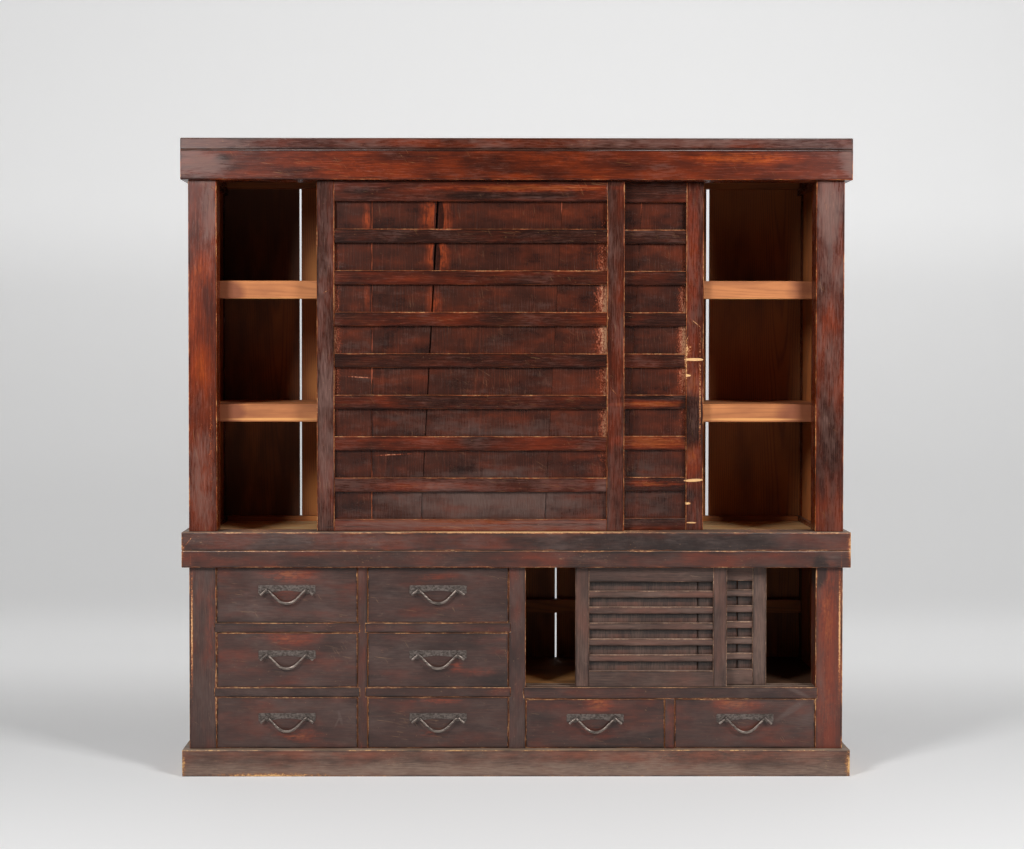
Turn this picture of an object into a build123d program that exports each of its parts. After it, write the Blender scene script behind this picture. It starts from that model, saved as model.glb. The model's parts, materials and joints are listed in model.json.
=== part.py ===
from build123d import *
import os
from dataclasses import dataclass
from math import cos, hypot, radians, sin, tan

# Mizuya kitchen cabinet: a chest in two parts, one standing on the other.
# Each part is a case of posts set between two projecting frames, with thin boards let in
# for its sides and back. The upper case has two shelves behind a pair of battened sliding
# doors. The lower case has eight drawers and a cupboard behind two slatted sliding doors.
#
# Units are millimetres. X runs along the front, Y towards the back, Z up. The origin is
# on the floor, under the middle of the cabinet. A span is (low, high) along one axis.

os.makedirs("parts", exist_ok=True)

# ---------------------------------------------------------------- case sizes
body_width = 1716.0           # over the corner posts
body_depth = 435.0            # front of the posts to the back of the back boards
lip = 17.0                    # how far the frames stand out past the posts
base_height = 70.0            # frame on the floor
crown_height = 44.5           # frame on top of the lower case
sill_height = 48.5            # frame at the foot of the upper case
header_height = 79.0          # frame at the head of the upper case
top_board_thickness = 29.5
upper_opening_height = 919.0
upper_back_rail_height = 60.0
upper_post_width = 74.0
lower_post_width = 71.0
rear_post_width = 30.0
rear_post_depth = 45.0
side_rail_reveal = 10.0       # side rails stand this far inside the side panels
back_rail_depth = 30.0
arris = 2.0                   # planed edge of the projecting frames

# ---------------------------------------------------------------- boards
side_board_thickness = 10.0
side_board_count = 3
side_board_gap = 1.0
back_board_thickness = 10.0
back_board_width = 293.0
back_board_gap = 1.0
upper_first_back_board = 247.0
upper_open_seams = {1: 6.0, 5: 9.0}    # seam number from the left, and its shrinkage gap
lower_first_back_board = 104.0
lower_open_seams = {4: 5.0}
floor_board_thickness = 12.0
floor_board_count = 3
floor_board_gap = 0.6
upper_floor_drop = 14.0       # upper floor lies this far below the sill
groove_depth = 8.0            # how far boards are let into posts and rails
rabbet_width = 6.0            # ledge that carries the boards closing the lower case

# ---------------------------------------------------------------- joints of the case
post_tenon_length = 25.0
front_post_shoulder = 16.0
rear_post_shoulder_x = 8.0
rear_post_shoulder_y = 10.0
housing_depth = 6.0           # rails and drawer shelves let into posts and partitions

# ---------------------------------------------------------------- shelves
shelf_tops = (974.5, 1301.0)
shelf_rail_height = 47.5
shelf_rail_depth = 24.0
shelf_rail_rabbet = 8.0
shelf_side_play = 0.5
cleat_width = 20.0
cleat_height = 24.0
bearer_spacing = 552.0        # between the two bearers under each shelf

# ---------------------------------------------------------------- lower case layout
drawer_row_heights = (136.0, 145.0, 147.5)    # clear height of each row, bottom row first
drawer_rail_height = 25.0
drawer_rail_depth = 40.0
drawer_column_width = 370.5
column_divider_thickness = 26.0
centre_post_width = 45.0
centre_partition_thickness = 20.0
cupboard_sill_height = 30.0
low_left_drawer_width = 366.0
small_divider_thickness = 26.0
lower_back_rail_height = 37.0
guide_width = 18.0
guide_height = 20.0
guide_end_gap = 12.0

# ---------------------------------------------------------------- sliding doors
leaf_setback = 4.0            # front leaf behind the face of the posts
leaf_gap = 4.0                # between the leaves, and behind the rear one
leaf_end_gap = 1.0            # between a closed leaf and its post
foot_groove_depth = 4.0
head_groove_depth = 14.0
head_lift = 4.0               # room over the top tongue, to lift a leaf out
foot_shoulder_gap = 1.0
head_shoulder_gap = 2.0
groove_play = 0.5             # each side of a tongue

# ---------------------------------------------------------------- drawers
drawer_setback = 1.0
drawer_side_gap = 1.0
drawer_top_gap = 1.5
drawer_foot_gap = 0.8
drawer_back_gap = 9.0
drawer_front_thickness = 20.0
drawer_side_thickness = 12.0
drawer_side_drop = 3.0        # sides are this much lower than the front
drawer_side_lap = 10.0        # sides let into the ends of the front
drawer_bottom_thickness = 6.0
drawer_bottom_lift = 5.0
drawer_bottom_groove = 4.0
drawer_arris = 1.0            # planed edge round the face of the front

# ---------------------------------------------------------------- iron handles
handle_rise = 14.5            # pivot above the middle of the drawer front
pivot_spacing = 103.0
pivot_standoff = 9.0          # pivot line in front of the back plate
bail_thickness = 4.6          # front to back
bail_tip_height = 7.0         # seen from the front, at the end of each leg
bail_peak_height = 4.6        # where it hangs in the eyes
bail_slope_height = 6.4       # where the bow begins
bail_bow_height = 8.0         # in the middle
bail_peak_radius = 6.0
bail_leg_length = 18.0
bail_leg_angle = 41.0
bail_slope_angle = 46.0
bail_bow_radius = 35.0
eye_play = 0.75
eye_wall = 2.2
eye_width = 4.0
eye_flats = 12                # an eye is forged to this many flats, inside and out
shank_height = 4.0
shank_clinch_length = 12.0
shank_clinch_thickness = 2.0
plate_length = 150.0
plate_height = 22.0
plate_thickness = 1.6
plate_waist = 8.0             # depth of the curve cut from the plate's lower edge
plate_ear = 24.0              # straight part at each end of the lower edge
plate_corner = 2.0


@dataclass
class LeafStyle:
    """How a pair of sliding doors is made."""

    thickness: float
    tongue: float             # thickness of the edges that run in the grooves
    stile: float
    top_rail: float
    bottom_rail: float
    bar_count: int
    bar_height: float
    bar_setback: float        # face of the bars behind the face of the frame
    bar_thickness: float
    bar_tenon: float
    panel_setback: float
    panel_thickness: float
    panel_groove: float
    rail_tenon_thickness: float
    rail_tenon_shoulder: float
    seams: tuple              # (share of the width at the foot, at the head, gap at the head)


seam_gap = 0.8                # between door boards where they have not opened
battened = LeafStyle(
    thickness=22.0,
    tongue=12.0,
    stile=46.0,
    top_rail=52.0,
    bottom_rail=31.0,
    bar_count=7,
    bar_height=37.0,
    bar_setback=3.0,
    bar_thickness=10.0,
    bar_tenon=8.0,
    panel_setback=13.0,
    panel_thickness=6.0,
    panel_groove=6.0,
    rail_tenon_thickness=8.0,
    rail_tenon_shoulder=8.0,
    seams=((0.176, 0.180, 0.8), (0.3375, 0.3933, 6.0), (0.741, 0.799, 0.8)),
)
slatted = LeafStyle(
    thickness=20.0,
    tongue=11.0,
    stile=36.0,
    top_rail=38.0,
    bottom_rail=42.0,
    bar_count=5,
    bar_height=18.0,
    bar_setback=3.0,
    bar_thickness=8.0,
    bar_tenon=6.0,
    panel_setback=13.0,
    panel_thickness=5.0,
    panel_groove=6.0,
    rail_tenon_thickness=7.0,
    rail_tenon_shoulder=9.0,
    seams=((0.8116, 0.8116, 2.0),),
)
upper_left_door_open = 260.0      # how far each door stands from the post it closes on
upper_right_door_open = 289.0
lower_left_door_open = 130.0
lower_right_door_open = 124.0

# ---------------------------------------------------------------- levels and faces
lower_opening_top = base_height + sum(drawer_row_heights) + 2 * drawer_rail_height
crown_top = lower_opening_top + crown_height
sill_top = crown_top + sill_height
header_bottom = sill_top + upper_opening_height
header_top = header_bottom + header_height
cabinet_top = header_top + top_board_thickness

half_body = body_width / 2
half_frame = half_body + lip
post_front = lip - (body_depth + lip) / 2
back = post_front + body_depth
frame_front = post_front - lip
track_depth = leaf_setback + 2 * battened.thickness + 2 * leaf_gap
post_back = post_front + track_depth
frame_back = back - back_board_thickness          # back face of rear posts and rails
back_rail_front = frame_back - back_rail_depth
rear_post_front = frame_back - rear_post_depth
panel_inside = half_body - rear_post_width        # inner face of the side boards
side_rail_inside = panel_inside - side_rail_reveal
upper_opening = (upper_post_width - half_body, half_body - upper_post_width)

column_left = lower_post_width - half_body
columns = (
    (column_left, column_left + drawer_column_width),
    (
        column_left + drawer_column_width + column_divider_thickness,
        column_left + 2 * drawer_column_width + column_divider_thickness,
    ),
)
centre_post = (columns[1][1], columns[1][1] + centre_post_width)
cupboard = (centre_post[1], half_body - lower_post_width)
centre_partition = (
    sum(centre_post) / 2 - centre_partition_thickness / 2,
    sum(centre_post) / 2 + centre_partition_thickness / 2,
)
small_divider = (
    cupboard[0] + low_left_drawer_width,
    cupboard[0] + low_left_drawer_width + small_divider_thickness,
)
low_columns = ((cupboard[0], small_divider[0]), (small_divider[1], cupboard[1]))
rows = []
row_floor = base_height
for row_height in drawer_row_heights:
    rows.append((row_floor, row_floor + row_height))
    row_floor += row_height + drawer_rail_height
cupboard_floor = rows[1][0]
low_row = (base_height, cupboard_floor - cupboard_sill_height)


# ---------------------------------------------------------------- helpers
def middle(span):
    """The point halfway along a span."""
    return (span[0] + span[1]) / 2


def size(span):
    """The length of a span."""
    return span[1] - span[0]


def block(x, y, z, mode=Mode.ADD):
    """A box that fills three spans, added to or cut from the part being built."""
    with Locations((middle(x), middle(y), middle(z))):
        Box(size(x), size(y), size(z), mode=mode)


def cut(*boxes):
    """Let other pieces into the part being built: each is given by its three spans."""
    for box in boxes:
        block(*box, mode=Mode.SUBTRACT)


def board(x, y, z):
    """One plain board."""
    with BuildPart() as piece:
        block(x, y, z)
    return piece.part


def divided(span, count, gap):
    """A span shared equally by boards lying side by side."""
    width = (size(span) - gap * (count - 1)) / count
    starts = [span[0] + i * (width + gap) for i in range(count)]
    return [(start, start + width) for start in starts]


def save(name, *pieces):
    """Write one named node. Its solids touch but stay separate."""
    solids = [solid for piece in pieces for solid in piece.solids()]
    node = Compound(solids) if len(solids) > 1 else solids[0]
    node.label = name
    export_step(node, f"parts/{name}.step")


# ---------------------------------------------------------------- boards let into the case
def side_boards(foot, head):
    """Spans of the upright boards of the right side, between two frames."""
    depth = (post_back - groove_depth, rear_post_front + groove_depth)
    across = (panel_inside, panel_inside + side_board_thickness)
    height = (foot - groove_depth, head + groove_depth)
    return [
        (across, y, height) for y in divided(depth, side_board_count, side_board_gap)
    ]


def side_groove(foot, head):
    """The whole groove that the side boards stand in."""
    boards = side_boards(foot, head)
    return boards[0][0], (boards[0][1][0], boards[-1][1][1]), boards[0][2]


def floor_boards(x, y, top):
    """Spans of boards that run across the case, side by side from front to back."""
    height = (top - floor_board_thickness, top)
    return [(x, span, height) for span in divided(y, floor_board_count, floor_board_gap)]


upper_side = side_groove(sill_top, header_bottom)
lower_side = side_groove(base_height, lower_opening_top)
upper_floor = (
    (-side_rail_inside - groove_depth, side_rail_inside + groove_depth),
    (post_back - groove_depth, back_rail_front + groove_depth),
    (sill_top - upper_floor_drop - floor_board_thickness, sill_top - upper_floor_drop),
)
rabbet_x = (-side_rail_inside - rabbet_width, side_rail_inside + rabbet_width)
rabbet_y = (post_back - rabbet_width, back_rail_front + rabbet_width)
lower_bottom = (rabbet_x, rabbet_y, (base_height - floor_board_thickness, base_height))
lower_top = (rabbet_x, rabbet_y, (crown_top - floor_board_thickness, crown_top))


# ---------------------------------------------------------------- posts
def post_tenons(x, y, foot, head, shoulder_x, shoulder_y):
    """Spans of the tenons at the foot and the head of a post."""
    across = (x[0] + shoulder_x, x[1] - shoulder_x)
    deep = (y[0] + shoulder_y, y[1] - shoulder_y)
    return [
        (across, deep, (foot - post_tenon_length, foot)),
        (across, deep, (head, head + post_tenon_length)),
    ]


def corner_posts(width, foot, head):
    """Spans and tenons of the right-hand front and rear posts of one case."""
    front_x, front_y = (half_body - width, half_body), (post_front, post_back)
    rear_x, rear_y = (panel_inside, half_body), (rear_post_front, frame_back)
    return (
        (front_x, front_y, (foot, head)),
        (rear_x, rear_y, (foot, head)),
        post_tenons(front_x, front_y, foot, head, front_post_shoulder, front_post_shoulder),
        post_tenons(rear_x, rear_y, foot, head, rear_post_shoulder_x, rear_post_shoulder_y),
    )


upper_corner = corner_posts(upper_post_width, sill_top, header_bottom)
lower_corner = corner_posts(lower_post_width, base_height, lower_opening_top)
upper_tenons = upper_corner[2] + upper_corner[3]
lower_tenons = lower_corner[2] + lower_corner[3]
centre_tenons = post_tenons(
    centre_post,
    (post_front, post_back),
    base_height,
    lower_opening_top,
    front_post_shoulder,
    front_post_shoulder,
)


def build_corner_posts(corner, groove, housings=()):
    """The four posts of a case: the right-hand pair and its mirror image, then housed."""
    front_post, rear_post, front_tenons, rear_tenons = corner
    with BuildPart() as posts:
        block(*front_post)
        block(*rear_post)
        for tenon in front_tenons + rear_tenons:
            block(*tenon)
        cut(groove)
        mirror(about=Plane.YZ)
        cut(*housings)
    return posts.part


# ---------------------------------------------------------------- frames
def leaf_faces(style):
    """Front and back faces of the front leaf and of the rear leaf."""
    first = post_front + leaf_setback
    second = first + style.thickness + leaf_gap
    return (first, first + style.thickness), (second, second + style.thickness)


def tongue_faces(style, faces):
    """Front and back faces of the tongue in the middle of a leaf's thickness."""
    return middle(faces) - style.tongue / 2, middle(faces) + style.tongue / 2


def tracks(style, x, z):
    """The two grooves that a pair of leaves slides in."""
    grooves = []
    for faces in leaf_faces(style):
        tongue = tongue_faces(style, faces)
        grooves.append((x, (tongue[0] - groove_play, tongue[1] + groove_play), z))
    return grooves


def front_rail(z, cuts):
    """The long front member of a frame, with its planed arrises and its joints."""
    with BuildPart() as rail:
        with BuildSketch(Plane.YZ.offset(-half_frame)):
            with Locations((middle((frame_front, post_back)), middle(z))):
                Rectangle(size((frame_front, post_back)), size(z))
        extrude(amount=2 * half_frame)
        chamfer(rail.edges().filter_by(Axis.X).group_by(Axis.Y)[0], length=arris)
        cut(*cuts)
    return rail.part


def mirrored(boxes):
    """The same boxes on both sides of the middle."""
    flipped = [((-x[1], -x[0]), y, z) for x, y, z in boxes]
    return list(boxes) + flipped


def side_and_back_rails(z, back_z, cuts):
    """The two side members and the back member that close a frame behind its front."""
    with BuildPart() as sides:
        block((side_rail_inside, half_frame), (post_back, frame_back), z)
        cut(*cuts)
        mirror(about=Plane.YZ)
    with BuildPart() as rear:
        block((-side_rail_inside, side_rail_inside), (back_rail_front, frame_back), back_z)
        cut(*cuts)
    return sides.part, rear.part


def back_boards(first_width, open_seams, z):
    """Upright boards nailed over the back, with the seams that shrinkage has opened."""
    boards = []
    left, right, seam = -half_body, first_width - half_body, 1
    while right < half_body:
        gap = open_seams.get(seam, back_board_gap)
        boards.append(board((left, right - gap / 2), (frame_back, back), z))
        left, right, seam = right + gap / 2, right + back_board_width, seam + 1
    boards.append(board((left, half_body), (frame_back, back), z))
    return boards


# ---------------------------------------------------------------- upper case
head_grooves = tracks(battened, upper_opening, (header_bottom, header_bottom + head_groove_depth))
foot_grooves = tracks(battened, upper_opening, (sill_top - foot_groove_depth, sill_top))
upper_joints = mirrored([upper_side, *upper_tenons])

with BuildPart() as top_board:
    block((-half_frame, half_frame), (frame_front, back), (header_top, cabinet_top))
    chamfer(top_board.edges().group_by(Axis.Z)[-1].sort_by(Axis.Y)[:-1], length=arris)
save("top_board", top_board.part)

save("upper_header_rail", front_rail((header_bottom, header_top), upper_joints + head_grooves))
save(
    "upper_sill_rail",
    front_rail((crown_top, sill_top), [*upper_joints, *foot_grooves, upper_floor]),
)
save(
    "upper_frame_rails",
    *side_and_back_rails(
        (header_bottom, header_top),
        (header_top - upper_back_rail_height, header_top),
        [upper_side, *upper_tenons],
    ),
    *side_and_back_rails(
        (crown_top, sill_top), (crown_top, sill_top), [upper_side, *upper_tenons, upper_floor]
    ),
)
save("upper_posts", build_corner_posts(upper_corner, upper_side))

with BuildPart() as upper_side_panels:
    for spans in side_boards(sill_top, header_bottom):
        block(*spans)
    mirror(about=Plane.YZ)
save("upper_side_panels", upper_side_panels.part)

save(
    "upper_back_boards",
    *back_boards(upper_first_back_board, upper_open_seams, (crown_top, header_top)),
)
save("upper_floor_boards", *[board(*spans) for spans in floor_boards(*upper_floor[:2], upper_floor[2][1])])


def shelf(top):
    """One shelf: a deep front rail and thin boards. Returns the shelf, then its supports."""
    rail_y = (post_back, post_back + shelf_rail_depth)
    board_x = (shelf_side_play - panel_inside, panel_inside - shelf_side_play)
    board_y = (rail_y[1] - shelf_rail_rabbet, frame_back)
    under = top - floor_board_thickness
    with BuildPart() as rail:
        block(board_x, rail_y, (top - shelf_rail_height, top))
        cut((board_x, board_y, (under, top)))
    planks = [board(*spans) for spans in floor_boards(board_x, board_y, top)]
    cleat_z = (under - cleat_height, under)
    cleat_y = (rail_y[1], frame_back)
    bearer_y = (rail_y[1], frame_back - cleat_width)
    with BuildPart() as side_cleats:
        block((panel_inside - cleat_width, panel_inside), (rail_y[1], rear_post_front), cleat_z)
        mirror(about=Plane.YZ)
    back_x = (cleat_width - panel_inside, panel_inside - cleat_width)
    back_cleat = board(back_x, (cleat_y[1] - cleat_width, cleat_y[1]), cleat_z)
    with BuildPart() as bearers:
        with Locations((-bearer_spacing / 2, 0), (bearer_spacing / 2, 0)):
            with Locations((0, middle(bearer_y), middle(cleat_z))):
                Box(cleat_width, size(bearer_y), cleat_height)
    return [rail.part, *planks], [side_cleats.part, back_cleat, bearers.part]


shelves = [shelf(top) for top in shelf_tops]
save("upper_shelves", *[piece for pieces, supports in shelves for piece in pieces])
save("upper_shelf_cleats", *[piece for pieces, supports in shelves for piece in supports])

# ---------------------------------------------------------------- lower case
cupboard_head_grooves = tracks(
    slatted, cupboard, (lower_opening_top, lower_opening_top + head_groove_depth)
)
cupboard_foot_grooves = tracks(
    slatted, cupboard, (cupboard_floor - foot_groove_depth, cupboard_floor)
)
lower_joints = mirrored([lower_side, *lower_tenons]) + centre_tenons

save(
    "lower_top_rail",
    front_rail(
        (lower_opening_top, crown_top), [*lower_joints, *cupboard_head_grooves, lower_top]
    ),
)
save("lower_base_rail", front_rail((0, base_height), [*lower_joints, lower_bottom]))

low_rails = side_and_back_rails(
    (0, base_height), (0, base_height), [lower_side, *lower_tenons, lower_bottom]
)
crown_rails = side_and_back_rails(
    (lower_opening_top, crown_top),
    (lower_opening_top, crown_top),
    [lower_side, *lower_tenons, lower_top],
)
cupboard_back_rail = board(
    (centre_partition[1], panel_inside),
    (back_rail_front, frame_back),
    (rows[2][0] - lower_back_rail_height, rows[2][0]),
)
save("lower_frame_rails", *low_rails, *crown_rails, cupboard_back_rail)

with BuildPart() as lower_side_panels:
    for spans in side_boards(base_height, lower_opening_top):
        block(*spans)
    mirror(about=Plane.YZ)
save("lower_side_panels", lower_side_panels.part)
save(
    "lower_back_boards",
    *back_boards(lower_first_back_board, lower_open_seams, (0, crown_top)),
)

# Rails between the drawers, and the grooved sill under the cupboard doors
rail_faces = (post_front, post_front + drawer_rail_depth)
rail_levels = [(row[0] - drawer_rail_height, row[0]) for row in rows[1:]]
drawer_rails = [
    ((column[0] - housing_depth, column[1] + housing_depth), rail_faces, level)
    for column in columns
    for level in rail_levels
]
cupboard_sill = (
    (cupboard[0] - housing_depth, cupboard[1] + housing_depth),
    (post_front, post_back),
    (low_row[1], cupboard_floor),
)
with BuildPart() as door_sill:
    block(*cupboard_sill)
    cut(*cupboard_foot_grooves)
save("lower_rails", *[board(*spans) for spans in drawer_rails], door_sill.part)

# Shelves that the drawers run on
shelf_levels = [(row[0] - floor_board_thickness, row[0]) for row in rows[1:]]
shelf_y = (rail_faces[1], frame_back)
left_shelves = [((-panel_inside, columns[0][1] + housing_depth), shelf_y, z) for z in shelf_levels]
middle_shelves = [
    ((columns[1][0] - housing_depth, centre_partition[0] + housing_depth), shelf_y, z)
    for z in shelf_levels
]
cupboard_shelf = (
    (centre_partition[1] - housing_depth, panel_inside),
    (post_back, frame_back),
    shelf_levels[0],
)

with BuildPart() as centre_post_part:
    block(centre_post, (post_front, post_back), (base_height, lower_opening_top))
    for tenon in centre_tenons:
        block(*tenon)
    cut(*drawer_rails, cupboard_sill, *middle_shelves)
post_housings = [*drawer_rails, cupboard_sill, *left_shelves, cupboard_shelf]
save(
    "lower_posts",
    build_corner_posts(lower_corner, lower_side, post_housings),
    centre_post_part.part,
)

with BuildPart() as column_divider:
    block(
        (columns[0][1], columns[1][0]), (post_front, frame_back), (base_height, lower_opening_top)
    )
    cut(*drawer_rails, *left_shelves, *middle_shelves)
with BuildPart() as partition:
    block(centre_partition, (post_back, frame_back), (base_height, lower_opening_top))
    cut(*middle_shelves, cupboard_shelf)
with BuildPart() as low_divider:
    with BuildSketch(Plane.YZ.offset(small_divider[0])):
        with BuildLine():
            Polyline(
                (post_front, base_height),
                (frame_back, base_height),
                (frame_back, shelf_levels[0][0]),
                (post_back, shelf_levels[0][0]),
                (post_back, low_row[1]),
                (post_front, low_row[1]),
                close=True,
            )
        make_face()
    extrude(amount=small_divider_thickness)
save("lower_partitions", column_divider.part, partition.part, low_divider.part)

save(
    "lower_inner_boards",
    *[board(*spans) for spans in left_shelves + middle_shelves],
    board(*cupboard_shelf),
    *[board(*spans) for spans in floor_boards(*lower_bottom[:2], base_height)],
    *[board(*spans) for spans in floor_boards(*lower_top[:2], crown_top)],
)

# Strips that keep the drawers straight, and bearers under the outer ends of the shelves
guide_y = (post_back, frame_back - guide_end_gap)
guides = []
for floor_level in [row[0] for row in rows]:
    guide_z = (floor_level, floor_level + guide_height)
    guides.append(((columns[0][0] - guide_width, columns[0][0]), guide_y, guide_z))
    guides.append(((centre_post[0], centre_partition[0]), guide_y, guide_z))
low_guide_z = (base_height, base_height + guide_height)
guides.append(((centre_partition[1], centre_post[1]), guide_y, low_guide_z))
guides.append(((cupboard[1], cupboard[1] + guide_width), guide_y, low_guide_z))
bearer_y = (post_back, rear_post_front)
for level in shelf_levels:
    bearer_z = (level[0] - guide_height, level[0])
    guides.append(((-panel_inside, columns[0][0] - guide_width), bearer_y, bearer_z))
guides.append(
    (
        (cupboard[1] + guide_width, panel_inside),
        bearer_y,
        (shelf_levels[0][0] - guide_height, shelf_levels[0][0]),
    )
)
save("drawer_guides", *[board(*spans) for spans in guides])


# ---------------------------------------------------------------- sliding doors
def leaf_width(style, opening):
    """Two closed leaves fill the opening, with one stile of each overlapping."""
    return (size(opening) - 2 * leaf_end_gap + style.stile) / 2


def leaf_boards(style, x, y, z, leaf_x):
    """Upright boards of a door panel, with seams that lean because the boards taper."""
    edges = [((x[0], x[0]), (x[0], x[0]))]
    for foot_share, head_share, head_gap in style.seams:
        foot, head = leaf_x[0] + foot_share * size(leaf_x), leaf_x[0] + head_share * size(leaf_x)
        edges.append(
            ((foot - seam_gap / 2, head - head_gap / 2), (foot + seam_gap / 2, head + head_gap / 2))
        )
    edges.append(((x[1], x[1]), (x[1], x[1])))
    boards = []
    for (_, start), (end, _) in zip(edges, edges[1:]):
        with BuildPart() as piece:
            with BuildSketch(Plane.XZ.offset(-y[1])):
                with BuildLine():
                    Polyline(
                        (start[0], z[0]), (end[0], z[0]), (end[1], z[1]), (start[1], z[1]), close=True
                    )
                make_face()
            extrude(amount=size(y))
        boards.append(piece.part)
    return boards


def sliding_leaf(name, style, x, faces, opening_z):
    """One sliding door: stiles, rails, bars across the front and the boards behind."""
    inner = (x[0] + style.stile, x[1] - style.stile)
    body = (opening_z[0] + foot_shoulder_gap, opening_z[1] - head_shoulder_gap)
    tongue_y = tongue_faces(style, faces)
    foot_tongue = (opening_z[0] - foot_groove_depth, body[0])
    head_tongue = (body[1], opening_z[1] + head_groove_depth - head_lift)
    clear = (body[0] + style.bottom_rail, body[1] - style.top_rail)

    panel_y = (faces[0] + style.panel_setback, faces[0] + style.panel_setback + style.panel_thickness)
    panel_x = (inner[0] - style.panel_groove, inner[1] + style.panel_groove)
    panel_z = (clear[0] - style.panel_groove, clear[1] + style.panel_groove)
    bar_x = (inner[0] - style.bar_tenon, inner[1] + style.bar_tenon)
    bar_y = (faces[0] + style.bar_setback, faces[0] + style.bar_setback + style.bar_thickness)
    gap = (size(clear) - style.bar_count * style.bar_height) / (style.bar_count + 1)
    bars = []
    for i in range(style.bar_count):
        foot = clear[0] + gap + i * (style.bar_height + gap)
        bars.append((bar_x, bar_y, (foot, foot + style.bar_height)))

    half_tenon = style.rail_tenon_thickness / 2
    tenon_y = (middle(faces) - half_tenon, middle(faces) + half_tenon)
    shoulder = style.rail_tenon_shoulder
    tenons = [
        (x, tenon_y, (body[0] + shoulder, clear[0] - shoulder)),
        (x, tenon_y, (clear[1] + shoulder, body[1] - shoulder)),
    ]

    def edge_member(across, height, tongues):
        """A stile or a rail, with the tongues that run in the grooves."""
        block(across, faces, height)
        for tongue_z in tongues:
            block(across, tongue_y, tongue_z)

    frame = []
    for stile_x in ((x[0], inner[0]), (inner[1], x[1])):
        with BuildPart() as stile:
            edge_member(stile_x, body, (foot_tongue, head_tongue))
            cut(*tenons, *bars, (panel_x, panel_y, panel_z))
        frame.append(stile.part)
    with BuildPart() as bottom_rail:
        edge_member(inner, (body[0], clear[0]), [foot_tongue])
        block(*tenons[0])
        cut((panel_x, panel_y, panel_z))
    with BuildPart() as top_rail:
        edge_member(inner, (clear[1], body[1]), [head_tongue])
        block(*tenons[1])
        cut((panel_x, panel_y, panel_z))
    frame += [bottom_rail.part, top_rail.part]
    frame += [board(*spans) for spans in bars]
    save(f"{name}_frame", *frame)
    save(f"{name}_boards", *leaf_boards(style, panel_x, panel_y, panel_z, x))


def door_pair(case, style, opening_x, opening_z, left_open, right_open):
    """Two doors in one opening, each slid part of the way from its own post."""
    width = leaf_width(style, opening_x)
    front_faces, rear_faces = leaf_faces(style)
    left = opening_x[0] + leaf_end_gap + left_open
    right = opening_x[1] - leaf_end_gap - right_open
    sliding_leaf(f"{case}_left_door", style, (left, left + width), front_faces, opening_z)
    sliding_leaf(f"{case}_right_door", style, (right - width, right), rear_faces, opening_z)


door_pair(
    "upper",
    battened,
    upper_opening,
    (sill_top, header_bottom),
    upper_left_door_open,
    upper_right_door_open,
)
door_pair(
    "lower",
    slatted,
    cupboard,
    (cupboard_floor, lower_opening_top),
    lower_left_door_open,
    lower_right_door_open,
)

# ---------------------------------------------------------------- drawers and their handles
drawer_face = post_front + drawer_setback
front_back = drawer_face + drawer_front_thickness
pivot_y = drawer_face - plate_thickness - pivot_standoff
eye_hole_radius = hypot(bail_thickness, bail_peak_height) / 2 + eye_play
eye_radius = eye_hole_radius + eye_wall


def handle_shanks(x_middle, pivot_z):
    """Spans of the two shanks that pass through the plate and the drawer front."""
    shanks = []
    for offset in (-pivot_spacing / 2, pivot_spacing / 2):
        across = (x_middle + offset - eye_width / 2, x_middle + offset + eye_width / 2)
        height = (pivot_z - shank_height / 2, pivot_z + shank_height / 2)
        shanks.append((across, (pivot_y, front_back), height))
    return shanks


def handle_plate(x_middle, pivot_z):
    """The flat iron plate, waisted along its lower edge, with a slot for each shank."""
    low, high = pivot_z - plate_height / 2, pivot_z + plate_height / 2
    ear = plate_length / 2 - plate_ear
    with BuildPart() as plate:
        with BuildSketch(Plane.XZ.offset(-drawer_face)):
            with Locations((x_middle, pivot_z)):
                bar = Rectangle(plate_length, plate_height)
            chamfer(bar.vertices(), length=plate_corner)
            with BuildLine():
                ThreePointArc(
                    (x_middle - ear, low), (x_middle, low + plate_waist), (x_middle + ear, low)
                )
                Line((x_middle + ear, low), (x_middle - ear, low))
            make_face(mode=Mode.SUBTRACT)
        extrude(amount=plate_thickness)
        cut(*handle_shanks(x_middle, pivot_z))
    return plate.part


def eye_outline(radius, mode=Mode.ADD):
    """A ring's edge, forged to flats that touch the circle of this radius."""
    RegularPolygon(radius, eye_flats, major_radius=False, mode=mode)


def handle_eyes(x_middle, pivot_z):
    """Two split pins: an eye round the bail, a shank, and legs clinched inside."""
    eyes = []
    for across, deep, height in handle_shanks(x_middle, pivot_z):
        clinch = (front_back, front_back + shank_clinch_thickness)
        with BuildPart() as eye:
            with BuildSketch(Plane.YZ.offset(across[0])):
                with Locations((pivot_y, pivot_z)):
                    eye_outline(eye_radius)
                with Locations((middle(deep), pivot_z)):
                    Rectangle(size(deep), shank_height)
                with Locations((middle(clinch), pivot_z)):
                    Rectangle(shank_clinch_thickness, shank_height + 2 * shank_clinch_length)
                with Locations((pivot_y, pivot_z)):
                    eye_outline(eye_hole_radius, mode=Mode.SUBTRACT)
            extrude(amount=eye_width)
        eyes.append(eye.part)
    return eyes


def beside(point, angle, offset):
    """A point set off square from a line that climbs at this angle."""
    return point[0] - offset * sin(angle), point[1] + offset * cos(angle)


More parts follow.
